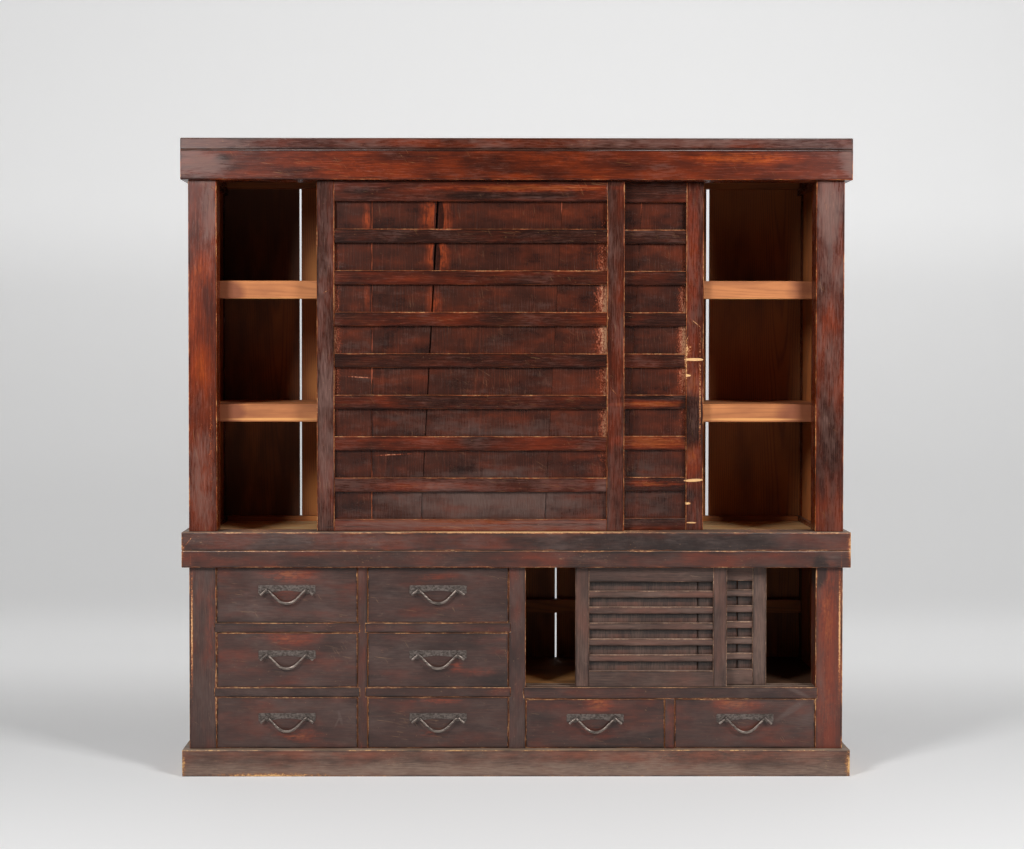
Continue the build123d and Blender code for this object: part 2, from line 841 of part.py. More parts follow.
def bail_edge(side):
    """The upper (1) or lower (-1) edge of the bail's left half, from its tip to its middle.

    The middle of the bar falls both ways from its peak: down the leg to the tip, and down
    the slope to the bow. Each point is set off from it by half the bar's height there.
    """
    leg, slope = radians(bail_leg_angle), radians(bail_slope_angle)
    peak_x, turn = -pivot_spacing / 2, bail_peak_radius
    outer = (peak_x - turn * sin(leg), turn * cos(leg) - turn)
    tip = (outer[0] - bail_leg_length * cos(leg), outer[1] - bail_leg_length * sin(leg))
    inner = (peak_x + turn * sin(slope), turn * cos(slope) - turn)
    bow_x = -bail_bow_radius * sin(slope)
    bow = (bow_x, inner[1] - (bow_x - inner[0]) * tan(slope))
    bottom = (0, bow[1] - bail_bow_radius * (1 - cos(slope)))

    tip_edge = beside(tip, leg, side * bail_tip_height / 2)
    leg_edge = beside(outer, leg, side * bail_peak_height / 2)
    peak_edge = beside((peak_x, 0), 0, side * bail_peak_height / 2)
    inner_edge = beside(inner, -slope, side * bail_peak_height / 2)
    bow_edge = beside(bow, -slope, side * bail_slope_height / 2)
    bottom_edge = beside(bottom, 0, side * bail_bow_height / 2)
    Line(tip_edge, leg_edge)
    ThreePointArc(leg_edge, peak_edge, inner_edge)
    Line(inner_edge, bow_edge)
    TangentArc(bottom_edge, bow_edge, tangent=(-1, 0))
    return tip_edge, bottom_edge


def handle_bail(x_middle, pivot_z):
    """The forged bail: two splayed legs, a peak in each eye, and a bow that swells."""
    front_plane = Plane(
        (x_middle, pivot_y + bail_thickness / 2, pivot_z), x_dir=(1, 0, 0), z_dir=(0, -1, 0)
    )
    with BuildPart() as bail:
        with BuildSketch(front_plane):
            with BuildLine():
                upper_tip, upper_bottom = bail_edge(1)
                lower_tip, lower_bottom = bail_edge(-1)
                Line(upper_tip, lower_tip)
                Line(upper_bottom, lower_bottom)
            make_face()
            mirror(about=Plane.YZ)
        extrude(amount=bail_thickness)
    return bail.part


def drawer(name, column, row):
    """A drawer in its opening: front, grooved sides, back, bottom and iron handle."""
    x = (column[0] + drawer_side_gap, column[1] - drawer_side_gap)
    front_z = (row[0] + drawer_foot_gap, row[1] - drawer_top_gap)
    side_z = (row[0], front_z[1] - drawer_side_drop)
    side_y = (front_back - drawer_side_lap, frame_back - drawer_back_gap)
    inner = (x[0] + drawer_side_thickness, x[1] - drawer_side_thickness)
    bottom_z = (row[0] + drawer_bottom_lift, row[0] + drawer_bottom_lift + drawer_bottom_thickness)
    bottom = (
        (inner[0] - drawer_bottom_groove, inner[1] + drawer_bottom_groove),
        (front_back - drawer_bottom_groove, side_y[1]),
        bottom_z,
    )
    sides = [((x[0], inner[0]), side_y, side_z), ((inner[1], x[1]), side_y, side_z)]
    pivot_z = middle(row) + handle_rise

    with BuildPart() as front:
        block(x, (drawer_face, front_back), front_z)
        chamfer(front.edges().group_by(Axis.Y)[0], length=drawer_arris)
        cut(*sides, bottom, *handle_shanks(middle(column), pivot_z))
    save(f"{name}_front", front.part)

    box = []
    for spans in sides:
        with BuildPart() as side:
            block(*spans)
            cut(bottom)
        box.append(side.part)
    back_y = (side_y[1] - drawer_side_thickness, side_y[1])
    box.append(board(inner, back_y, (bottom_z[1], side_z[1])))
    box.append(board(*bottom))
    save(f"{name}_box", *box)
    save(
        f"{name}_handle_plate",
        handle_plate(middle(column), pivot_z),
        *handle_eyes(middle(column), pivot_z),
    )
    save(f"{name}_bail", handle_bail(middle(column), pivot_z))


drawer_openings = [(column, row) for column in columns for row in reversed(rows)]
drawer_openings += [(column, low_row) for column in low_columns]
for number, (column, row) in enumerate(drawer_openings, start=1):
    drawer(f"drawer_{number}", column, row)
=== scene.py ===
"""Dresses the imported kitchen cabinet: worn lacquered boards, forged handles, and a pale studio."""

import json
import random
from math import cos, pi, radians, sin, tan

import bmesh
import bpy
from bpy.props import FloatProperty, FloatVectorProperty, IntProperty, PointerProperty
from bpy.types import Operator, Panel, PropertyGroup
from mathutils import Matrix, Vector

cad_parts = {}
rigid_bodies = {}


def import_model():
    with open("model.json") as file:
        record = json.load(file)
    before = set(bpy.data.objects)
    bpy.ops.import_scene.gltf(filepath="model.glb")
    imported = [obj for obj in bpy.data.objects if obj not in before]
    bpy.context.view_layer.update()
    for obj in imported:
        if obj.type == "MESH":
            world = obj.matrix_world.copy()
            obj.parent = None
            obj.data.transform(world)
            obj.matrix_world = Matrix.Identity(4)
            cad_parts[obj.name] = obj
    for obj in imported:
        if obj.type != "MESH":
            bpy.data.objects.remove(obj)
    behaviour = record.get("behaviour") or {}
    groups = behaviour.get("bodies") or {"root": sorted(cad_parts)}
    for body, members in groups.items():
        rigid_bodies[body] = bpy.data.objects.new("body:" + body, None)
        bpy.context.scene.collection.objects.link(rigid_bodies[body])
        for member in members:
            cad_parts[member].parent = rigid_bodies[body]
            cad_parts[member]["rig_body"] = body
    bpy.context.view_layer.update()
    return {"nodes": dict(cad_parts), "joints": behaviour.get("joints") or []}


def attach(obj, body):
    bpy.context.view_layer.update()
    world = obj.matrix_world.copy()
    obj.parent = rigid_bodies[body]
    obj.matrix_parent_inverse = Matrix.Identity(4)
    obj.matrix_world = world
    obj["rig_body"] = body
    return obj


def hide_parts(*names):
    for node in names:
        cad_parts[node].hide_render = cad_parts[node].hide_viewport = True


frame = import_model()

bl_info = {
    "name": "Mizuya kitchen cabinet",
    "version": (1, 0, 0),
    "blender": (4, 5, 0),
    "location": "3D View > Sidebar > Cabinet",
    "description": "Dresses a stacked kitchen cabinet in worn lacquer and forged iron",
    "category": "Object",
}

MM = 0.001


# Settings


def linear(colour):
    """A linear colour with full alpha, from an sRGB hex value such as "#8a4a2c"."""
    parts = [int(colour[i : i + 2], 16) / 255 for i in (1, 3, 5)]
    return tuple(c / 12.92 if c <= 0.04045 else ((c + 0.055) / 1.055) ** 2.4 for c in parts) + (1,)


def colour(name, description, default):
    """A colour setting, from an sRGB hex value."""
    return FloatVectorProperty(
        name=name, description=description, subtype="COLOR", size=4, min=0, max=1,
        default=linear(default),
    )


def length(name, description, default):
    """A length setting, in metres."""
    return FloatProperty(name=name, description=description, default=default, min=0, unit="LENGTH")


LACQUER_COLOURS = {
    "soot": "Smoke and old dirt in the lacquer",
    "body": "Lacquer where it is thick",
    "red": "Lacquer worn thin, where the wood glows through",
    "bloom": "Dull grey bloom of dust and dry lacquer",
    "ember": "Rim of a worn place, where only stain is left",
    "raw": "Bare wood at a worn arris",
    "silt": "Dust that lies on the upper faces",
}


def colour_settings(name, uses, *defaults):
    """A property group with one colour for each use."""
    fields = {
        key: colour(key.replace("_", " ").capitalize(), uses[key], default)
        for key, default in zip(uses, defaults)
    }
    return type(name, (PropertyGroup,), {"__annotations__": fields})


CaseLacquer = colour_settings(
    "CaseLacquer", LACQUER_COLOURS,
    "#220b05", "#4c1a0b", "#85300c", "#684438", "#a8480f", "#dca468", "#7a5a4a",
)
BattenLacquer = colour_settings(
    "BattenLacquer", LACQUER_COLOURS,
    "#190804", "#3a190f", "#772a10", "#66443a", "#94481f", "#dcac74", "#80503a",
)
PanelLacquer = colour_settings(
    "PanelLacquer", LACQUER_COLOURS,
    "#140705", "#3a1c13", "#662a16", "#553f37", "#98401d", "#bd8c68", "#6a4636",
)
DrawerLacquer = colour_settings(
    "DrawerLacquer", LACQUER_COLOURS,
    "#1d1310", "#402822", "#78311c", "#584640", "#a85a2c", "#dcac78", "#8a7564",
)
BaseLacquer = colour_settings(
    "BaseLacquer", LACQUER_COLOURS,
    "#201610", "#49332b", "#824835", "#80695b", "#9a6238", "#dcac70", "#94806c",
)
SlatLacquer = colour_settings(
    "SlatLacquer", LACQUER_COLOURS,
    "#1a110c", "#46312a", "#704537", "#6e574c", "#886450", "#b89a80", "#8a7468",
)
CedarSettings = colour_settings(
    "CedarSettings",
    {
        # The shelves' late-wood colour also paints the shade at their ends.
        "shelf": "Shelves", "shelf_late": "Late wood in the shelves",
        "shelf_lit": "Shelves' lower arrises, kept pale",
        "inner": "Drawer boxes and boards inside", "inner_late": "Late wood inside",
        # The cupboard's dark colour also paints the shade on its floor.
        "cupboard": "Cupboard floor", "cupboard_late": "Smoke and late wood in the cupboard floor",
        # The back boards' dark colour also paints shade in the bays, and their lit colour paints
        # light where the lamps shine in beside the doors.
        "back": "Back boards, inside", "back_late": "Smoke and late wood in the back boards",
        "back_lit": "Back boards that smoke didn't reach",
        "outside": "Back boards, outside", "outside_late": "Late wood outside",
        "floor": "Floor of the upper case", "floor_late": "Late wood in the floor",
        "floor_dust": "Dust on the floor",
    },
    "#c27a45", "#74391c", "#dc9a58", "#b98653", "#8a5731", "#a8743f", "#2a1408", "#a8602c",
    "#52301c", "#cc8444", "#9a683e", "#5c3a20", "#d8a066", "#94663a", "#ccae7e",
)


class BoardSettings(PropertyGroup):
    arris: length("Arris", "Radius of the eased arrises", 1.2 * MM)
    arris_steps: IntProperty(
        name="Arris steps", description="Facets across an arris", default=2, min=1
    )
    arris_wear: length("Arris wear", "Width of the worn line along an arris", 1.5 * MM)
    ring_spacing: length("Ring spacing", "Between two growth rings", 5 * MM)
    fibre_width: length("Fibre width", "Across one streak of fibres", 3 * MM)
    crown_end: length("Crown end", "Rounding of the crown rail's ends", 6 * MM)
    base_end: length("Base end", "Rounding of the base rail's ends", 7 * MM)
    sill_end: length("Sill end", "Rounding of the sill rail's ends", 3 * MM)


class IronSettings(PropertyGroup):
    scale: colour("Scale", "Forge scale on the iron", "#59504b")
    rubbed: colour("Rubbed", "Iron rubbed bright by hands", "#988a80")
    soot: colour("Soot", "Smoke on the back plates", "#4e4540")
    dust: colour("Dust", "Dust in the pits of the back plates", "#7a6f69")


class HandleSettings(PropertyGroup):
    peak: length("Peak", "From the bail's middle to the top of its shoulder", 51.5 * MM)
    turn: length("Turn", "Radius of the shoulder", 6 * MM)
    leg_length: length("Leg", "From the shoulder to the tip", 18 * MM)
    leg_angle: FloatProperty(
        name="Leg angle", description="Fall of the leg", default=radians(41), subtype="ANGLE"
    )
    slope_angle: FloatProperty(
        name="Slope angle", description="Fall towards the bow", default=radians(46), subtype="ANGLE"
    )
    bow_radius: length("Bow radius", "Radius of the bow", 35 * MM)
    thickness: length("Thickness", "Of the bar, from front to back", 4.6 * MM)
    tip: length("Tip", "Height of the bar near its tip", 7 * MM)
    neck: length("Neck", "Height of the bar in its eye", 4.6 * MM)
    slope: length("Slope", "Height of the bar where it meets the bow", 6.4 * MM)
    bow: length("Bow", "Height of the bar in its middle", 8 * MM)
    plate_arris: length("Plate arris", "Radius of the back plate's arrises", 0.4 * MM)
    pin_arris: length("Pin arris", "Radius of the split pins' arrises", 0.7 * MM)


class StudioSettings(PropertyGroup):
    paper: colour("Paper", "Floor and backdrop", "#e4e4e4")
    paper_reach: length("Paper reach", "From the cabinet to the paper's front and sides", 25)
    paper_bend: length("Paper bend", "Behind the cabinet's middle, where the paper bends up", 1.6)
    paper_radius: length("Paper radius", "Of the bend", 1.2)
    paper_top: length("Paper top", "Height of the backdrop", 5)
    lamp_power: FloatProperty(
        name="Lamp power", description="Power of each soft lamp", default=100, min=0, unit="POWER"
    )
    lamp_width: length("Lamp width", "Width of each soft lamp", 0.9)
    lamp_height: length("Lamp height", "Height of each soft lamp", 1.2)
    lamp_distance: length("Lamp distance", "From the cabinet to each lamp", 3.9)
    lamp_azimuths: FloatVectorProperty(
        name="Lamp azimuths", description="Left and right lamp, off the front axis", size=2,
        default=(radians(-36), radians(42)), unit="ROTATION",
    )
    lamp_elevation: FloatProperty(
        name="Lamp elevation", description="Above the horizon", default=radians(24),
        subtype="ANGLE",
    )
    camera_place: FloatVectorProperty(
        name="Camera", description="Where the camera stands", subtype="TRANSLATION",
        default=(-0.1050, -4.4325, 1.1141),
    )
    camera_turn: FloatVectorProperty(
        name="Camera turn", description="How the camera is turned", subtype="EULER",
        default=(radians(90 - 1.178), radians(-0.036), radians(-0.221)),
    )
    lens: FloatProperty(
        name="Lens", description="Focal length in mm", default=56.73, min=1, unit="CAMERA"
    )
    shift: FloatVectorProperty(
        name="Shift", description="Lens shift in shares of the width", size=2,
        default=(0.0287, -0.0390),
    )


class CabinetSettings(PropertyGroup):
    case: PointerProperty(type=CaseLacquer, name="Case", description="Upper case's lacquer")
    batten: PointerProperty(type=BattenLacquer, name="Battens", description="Door frames' lacquer")
    panel: PointerProperty(type=PanelLacquer, name="Panels", description="Door boards' lacquer")
    drawer: PointerProperty(type=DrawerLacquer, name="Drawers", description="Lower case's lacquer")
    base: PointerProperty(type=BaseLacquer, name="Base", description="Base rail's lacquer")
    slat: PointerProperty(type=SlatLacquer, name="Slats", description="Slatted doors' lacquer")
    cedar: PointerProperty(type=CedarSettings, name="Cedar", description="Bare wood")
    boards: PointerProperty(type=BoardSettings, name="Boards", description="Easing and wear")
    iron: PointerProperty(type=IronSettings, name="Iron", description="Forged iron")
    handle: PointerProperty(type=HandleSettings, name="Handle", description="Sizes of a handle")
    studio: PointerProperty(type=StudioSettings, name="Studio", description="Lamps and camera")


def settings():
    """The scene's own settings of this cabinet."""
    return bpy.context.scene.cabinet


# Shader parts

# Options of a Map Range node that eases in and out
SMOOTH = {"interpolation_type": "SMOOTHSTEP"}


def add(tree, kind, inputs=(), **options):
    """One shader node. Inputs are in order, or in a dict by name or number.

    Each takes a value, a socket, or a node, which gives its first output that is in use.
    """
    made = tree.nodes.new("ShaderNode" + kind)
    for option, value in options.items():
        setattr(made, option, value)
    for key, value in (inputs if isinstance(inputs, dict) else dict(enumerate(inputs))).items():
        if isinstance(value, bpy.types.Node):
            value = next(socket for socket in value.outputs if socket.enabled)
        if isinstance(value, bpy.types.NodeSocket):
            tree.links.new(value, made.inputs[key])
        else:
            made.inputs[key].default_value = value
    return made


def new_material(name):
    """An empty material and its tree."""
    material = bpy.data.materials.new(name)
    material.use_nodes = True
    material.node_tree.nodes.clear()
    return material, material.node_tree


def cloud(tree, place, size, detail=3.0, roughness=0.55, turn=0.0):
    """Noise whose blotches measure about size (along, across, through the board) in metres."""
    turned = add(tree, "Mapping", {"Vector": place, "Rotation": (0, 0, turn)})
    mapped = add(tree, "Mapping", {"Vector": turned, "Scale": tuple(1 / s for s in size)})
    return add(
        tree, "TexNoise", {"Vector": mapped, "Scale": 1.0, "Detail": detail, "Roughness": roughness}
    )


class BoardSockets:
    """A board's own place and tones, and the distance to its nearest arris."""

    def __init__(self, tree):
        self.here = add(tree, "Attribute", attribute_name="board_place").outputs["Vector"]
        half = add(tree, "Attribute", attribute_name="board_half").outputs["Vector"]
        tone = add(tree, "Attribute", attribute_name="board_tone")
        parts = add(tree, "SeparateColor", (tone.outputs["Color"],))
        self.seed, self.redness, self.bloom = parts.outputs
        self.darkness = tone.outputs["Alpha"]
        self.wear = add(tree, "Attribute", attribute_name="board_wear").outputs["Fac"]
        # The seed moves each board to a place of its own in the noise
        self.place = add(
            tree, "VectorMath", (self.seed, (37.0, 23.0, 11.0), self.here), operation="MULTIPLY_ADD"
        )
        away = add(tree, "VectorMath", (self.here,), operation="ABSOLUTE")
        left = add(tree, "VectorMath", (half, away), operation="SUBTRACT")
        a, b, c = add(tree, "SeparateXYZ", (left,)).outputs
        # The middle one of the three distances to the sides is the one to the nearest arris
        low = add(tree, "Math", (a, b), operation="MINIMUM")
        high = add(tree, "Math", (a, b), operation="MAXIMUM")
        inner = add(tree, "Math", (high, c), operation="MINIMUM")
        self.arris = add(tree, "Math", (low, inner), operation="MAXIMUM")


def growth_rings(tree, board):
    """Late-wood lines of a plain-sawn board: close and straight at its sides, arched in its middle.

    The board is cut from rings round a pith that lies behind it, a little askew.
    """
    bend = cloud(tree, board.place, (0.5, 0.06, 0.06), detail=2).outputs["Color"]
    bent = add(tree, "VectorMath", (bend, (0, 0.016, 0.016), board.here), operation="MULTIPLY_ADD")
    pith = add(
        tree, "VectorMath", (board.seed, (0, 0.19, 0.05), (0, -0.1, 0.03)), operation="MULTIPLY_ADD"
    )
    moved = add(tree, "VectorMath", (bent, pith), operation="ADD")
    askew = add(tree, "Mapping", {"Vector": moved, "Rotation": (0, 0.022, 0.012)})
    across = add(tree, "VectorMath", (askew, (0, 1, 1)), operation="MULTIPLY")
    radius = add(tree, "VectorMath", (across,), operation="LENGTH")
    turns = add(tree, "Math", (radius, settings().boards.ring_spacing), operation="DIVIDE")
    wave = add(tree, "Math", (turns, 0.5), operation="PINGPONG")
    return add(tree, "MapRange", (wave, 0.2, 0.5), **SMOOTH)


def marks(tree, spots):
    """One value that rises towards 1 in the middle of each spot on the cabinet's front.

    A spot is (x, z, half width, half height, strength, tilt): millimetres in the cabinet's frame,
    and degrees, which may be left out.
    """
    # Every mark lies round one plane near the front, and reaches this far before and behind it
    plane, reach = -0.2, 0.5
    place = add(tree, "TexCoord").outputs["Object"]
    total = 0.0
    for x, z, half_width, half_height, strength, *tilt in spots:
        centred = add(
            tree, "Mapping",
            {"Vector": place, "Location": (x * MM, plane, z * MM),
             "Rotation": (0, -radians(sum(tilt)), 0),
             "Scale": (half_width * MM, reach, half_height * MM)},
            vector_type="TEXTURE",
        )
        glow = add(tree, "TexGradient", (centred,), gradient_type="SPHERICAL").outputs["Fac"]
        total = add(tree, "Math", (glow, strength, total), operation="MULTIPLY_ADD")
    return total


def scratches(tree, board, turn, long, thin, rare):
    """Short straight scratches at one angle to the grain, gathered in places."""
    lines = cloud(tree, board.place, (long, thin, thin), detail=1, roughness=0.4, turn=turn)
    crowd = cloud(tree, board.place, (0.11, 0.09, 0.09), detail=2)
    limit = add(tree, "MapRange", (crowd, 0.35, 0.7, rare + 0.14, rare), **SMOOTH)
    above = add(tree, "Math", (lines, limit), operation="SUBTRACT")
    return add(tree, "MapRange", (above, 0.0, 0.05), **SMOOTH)


# Materials


def lacquered_wood(
    name, paint, spots=None, figure=1.0, ring=0.3, bloom=0.0, gloss=0.2, rim=0.5, rub=0.7,
    smear=(0.15, 0.05),
):
    """Softwood with wiped lacquer: brown-black and satin, red where thin, pale where rubbed off.

    Spots holds lists of marks: where it is worn red, bloomed grey, sooty, or rubbed bare.
    Figure is the contrast of the streaks, ring that of the growth rings, bloom the share of dust,
    rim and rub how strongly the stained rim and the bare line show along an arris, and smear the
    length and width of the wiped patches, along and across the grain.
    """
    sizes = settings().boards
    material, tree = new_material(name)
    board = BoardSockets(tree)
    place = board.place
    spot = {kind: marks(tree, places) for kind, places in (spots or {}).items()}
    long, wide = smear
    width = sizes.fibre_width

    wiped = cloud(tree, place, (long, wide, wide), detail=6, roughness=0.62)
    strip = cloud(tree, place, (0.50, 0.011, 0.011), detail=3, roughness=0.6)
    fibre = cloud(tree, place, (0.07, width, width), detail=3, roughness=0.7)
    # Single fibres are finer than a pixel, so they are drawn as coarse as they need to show
    hair = cloud(tree, place, (0.030, 2.2 * MM, 2.2 * MM), detail=2, roughness=0.6)
    along = cloud(tree, place, (0.12, 0.02, 0.02), detail=3, roughness=0.7)
    chips = cloud(tree, place, (0.010, 0.006, 0.006), detail=3, roughness=0.7)

    # Wiped thin, the lacquer turns red, then the stain of the wood comes through
    glow = add(tree, "Math", (wiped, 1.3), operation="MULTIPLY")
    glow = add(tree, "Math", (board.redness, 0.4, glow), operation="MULTIPLY_ADD")
    glow = add(tree, "Math", (strip, 0.5 * figure, glow), operation="MULTIPLY_ADD")
    if "red" in spot:
        flecks = cloud(tree, place, (0.014, 0.006, 0.006), detail=3, roughness=0.65)
        worn = spot["red"]
        for noise, low, high, least in ((fibre, 0.3, 0.7, 0.4), (flecks, 0.32, 0.6, 0.35)):
            broken = add(tree, "MapRange", (noise, low, high, least, 1.1), **SMOOTH)
            worn = add(tree, "Math", (worn, broken), operation="MULTIPLY")
        glow = add(tree, "Math", (worn, 0.8, glow), operation="MULTIPLY_ADD")
    mean = 0.65 + 0.25 * figure
    coats = [
        (add(tree, "MapRange", (glow, mean - 0.10, mean + 0.50), **SMOOTH), paint.red),
        (add(tree, "MapRange", (glow, mean + 0.40, mean + 1.0, 0.0, 0.8), **SMOOTH), paint.ember),
    ]

    # Late wood shows in bands, broken by the fibres
    gate = cloud(tree, place, (0.30, 0.05, 0.05), detail=2)
    lines = growth_rings(tree, board)
    for noise, low, high, least in ((gate, 0.42, 0.62, 0.3), (fibre, 0.35, 0.65, 0.2)):
        broken = add(tree, "MapRange", (noise, low, high, least, 1.0), **SMOOTH)
        lines = add(tree, "Math", (lines, broken), operation="MULTIPLY")
    coats.append((add(tree, "Math", (lines, ring), operation="MULTIPLY"), paint.ember))

    # Smoke lies in the fibres, and old dirt where cloths and hands don't reach
    grime_and_painted_shade = cloud(tree, place, (long, 0.8 * wide, 0.8 * wide), detail=5, roughness=0.6)
    grime_and_painted_shade = add(tree, "Math", (board.darkness, 0.3, grime_and_painted_shade), operation="MULTIPLY_ADD")
    # Soot marks add old dirt, and on the slatted doors' boards they paint the shadow under each slat
    if "soot" in spot:
        grime_and_painted_shade = add(tree, "Math", (spot["soot"], 0.6, grime_and_painted_shade), operation="MULTIPLY_ADD")
    for noise, low, high, bottom, top, over in (
        (fibre, 0.30, 0.68, 0.6 * figure, 0.0, paint.soot),
        (strip, 0.32, 0.62, 0.55 * figure, 0.0, paint.soot),
        (hair, 0.35, 0.6, 0.08 + 0.3 * figure, 0.0, paint.soot),
        (hair, 0.55, 0.8, 0.0, 0.15 * figure, paint.ember),
        (grime_and_painted_shade, 0.48, 0.90, 0.0, 0.9, paint.soot),
    ):
        coats.append((add(tree, "MapRange", (noise, low, high, bottom, top), **SMOOTH), over))

    # Dust and dried lacquer make a grey bloom, streaked along the grain
    streak = 0.1 + 0.65 * figure
    dust = cloud(tree, place, (0.8 * long, 1.2 * wide, 1.2 * wide), detail=6, roughness=0.68)
    dust = add(tree, "Math", (dust, 1.3, -0.18 - streak), operation="MULTIPLY_ADD")
    shares = [(hair, streak), (fibre, streak), (board.bloom, 0.35)]
    if "bloom" in spot:
        shares.append((spot["bloom"], 0.5))
    for noise, share in shares:
        dust = add(tree, "Math", (noise, share, dust), operation="MULTIPLY_ADD")
    dust = add(tree, "MapRange", (dust, 0.45 - bloom, 1.25 - bloom), **SMOOTH)
    combed = add(tree, "MapRange", (hair, 0.35, 0.65, 0.55, 1.0), **SMOOTH)
    dust = add(tree, "Math", (dust, combed), operation="MULTIPLY")
    coats.append((dust, paint.bloom))

    # Scratches, drawn wider than real ones so that they show, and small pits
    pits = cloud(tree, place, (0.005, 0.004, 0.004), detail=1)
    flat = scratches(tree, board, radians(8), 0.050, 1.5 * MM, 0.70)
    steep = scratches(tree, board, radians(58), 0.040, 1.5 * MM, 0.73)
    nicks = add(tree, "Math", (flat, steep), operation="ADD")
    pits = add(tree, "MapRange", (pits, 0.77, 0.81), **SMOOTH)
    nicks = add(tree, "Math", (nicks, pits), operation="ADD")
    coats.append((add(tree, "Math", (nicks, 0.2), operation="MINIMUM"), paint.raw))

    # Dirt gathers beside an arris, and the arris itself is worn to stain and then to bare wood
    dirt = add(tree, "MapRange", (board.arris, 1.5 * MM, 8 * MM, 0.75, 0.0), **SMOOTH)
    patchy = add(tree, "MapRange", (along, 0.60, 0.35, 0.25, 1.0), **SMOOTH)
    coats.append((add(tree, "Math", (dirt, patchy), operation="MULTIPLY"), paint.soot))
    reach = add(tree, "MapRange", (along, 0.40, 0.66, 0.4 * MM, sizes.arris_wear), **SMOOTH)
    reach = add(tree, "Math", (board.wear, reach), operation="MULTIPLY")
    reach = add(tree, "Math", (reach, 1e-5), operation="ADD")
    depth = add(tree, "Math", (board.arris, reach), operation="DIVIDE")
    ember = add(tree, "MapRange", (depth, 0.8, 1.8, rim, 0.0), **SMOOTH)
    chipped = add(tree, "MapRange", (chips, 0.38, 0.68, 0.1, 1.9), **SMOOTH)
    depth = add(tree, "Math", (depth, chipped), operation="DIVIDE")
    bare = add(tree, "MapRange", (depth, 0.15, 0.8, rub, 0.0), **SMOOTH)
    if "raw" in spot:
        speck = cloud(tree, place, (4 * MM, 3 * MM, 3 * MM), detail=1)
        rubbed = add(tree, "Math", (chips, 0.4), operation="MULTIPLY")
        rubbed = add(tree, "Math", (spot["raw"], 0.7, rubbed), operation="MULTIPLY_ADD")
        rubbed = add(tree, "Math", (speck, 0.6, rubbed), operation="MULTIPLY_ADD")
        stained = add(tree, "MapRange", (rubbed, 0.62, 0.95, 0.0, 0.8), **SMOOTH)
        ember = add(tree, "Math", (ember, stained), operation="MAXIMUM")
        # Raw marks open the lacquer to bare wood, and along the sill's top in the two bays they
        # paint a highlight of its lit top face
        opened_and_painted_highlight = add(tree, "MapRange", (rubbed, 0.80, 1.05), **SMOOTH)
        bare = add(tree, "Math", (bare, opened_and_painted_highlight), operation="MAXIMUM")

    # Dust settles on what faces up
    up = add(tree, "SeparateXYZ", (add(tree, "TexCoord").outputs["Normal"],)).outputs["Z"]
    up = add(tree, "MapRange", (up, 0.3, 0.9), **SMOOTH)
    drift = add(tree, "Math", (wiped, along), operation="ADD")
    drift = add(tree, "MapRange", (drift, 0.7, 1.25, 0.35, 0.9), **SMOOTH)
    silt = add(tree, "Math", (up, drift), operation="MULTIPLY")
    coats += [(ember, paint.ember), (silt, paint.silt), (bare, paint.raw)]
    tint = paint.body
    for share, over in coats:
        tint = add(tree, "Mix", {0: share, 6: tint, 7: over}, data_type="RGBA")

    # Satin on lacquer, matt where it is dusty or worn, and without shine along the arrises
    rough = add(tree, "MapRange", (dust, 0.0, 0.8, gloss, gloss + 0.25), **SMOOTH)
    rough = add(tree, "Math", (fibre, 0.12, rough), operation="MULTIPLY_ADD")
    for share, least in ((bare, 0.65), (silt, 0.85), (ember, 0.8)):
        matt = add(tree, "Math", (share, least), operation="MULTIPLY")
        rough = add(tree, "Math", (rough, matt), operation="MAXIMUM")
    sheen = add(tree, "MapRange", (board.arris, 0.5 * MM, 2.5 * MM, 0.05, 0.5), **SMOOTH)
    relief = fibre
    for share, sunk in ((ember, 0.5), (nicks, 0.3)):
        sink = add(tree, "Math", (share, sunk), operation="MULTIPLY")
        relief = add(tree, "Math", (relief, sink), operation="SUBTRACT")
    relief = add(tree, "Math", (grime_and_painted_shade, 6.0, relief), operation="MULTIPLY_ADD")
    bump = add(tree, "Bump", {"Height": relief, "Strength": 0.25, "Distance": 0.4 * MM})
    shader = add(
        tree, "BsdfPrincipled",
        {"Base Color": tint, "Roughness": rough, "Specular IOR Level": sheen, "Normal": bump},
    )
    add(tree, "OutputMaterial", {"Surface": shader})
    return material


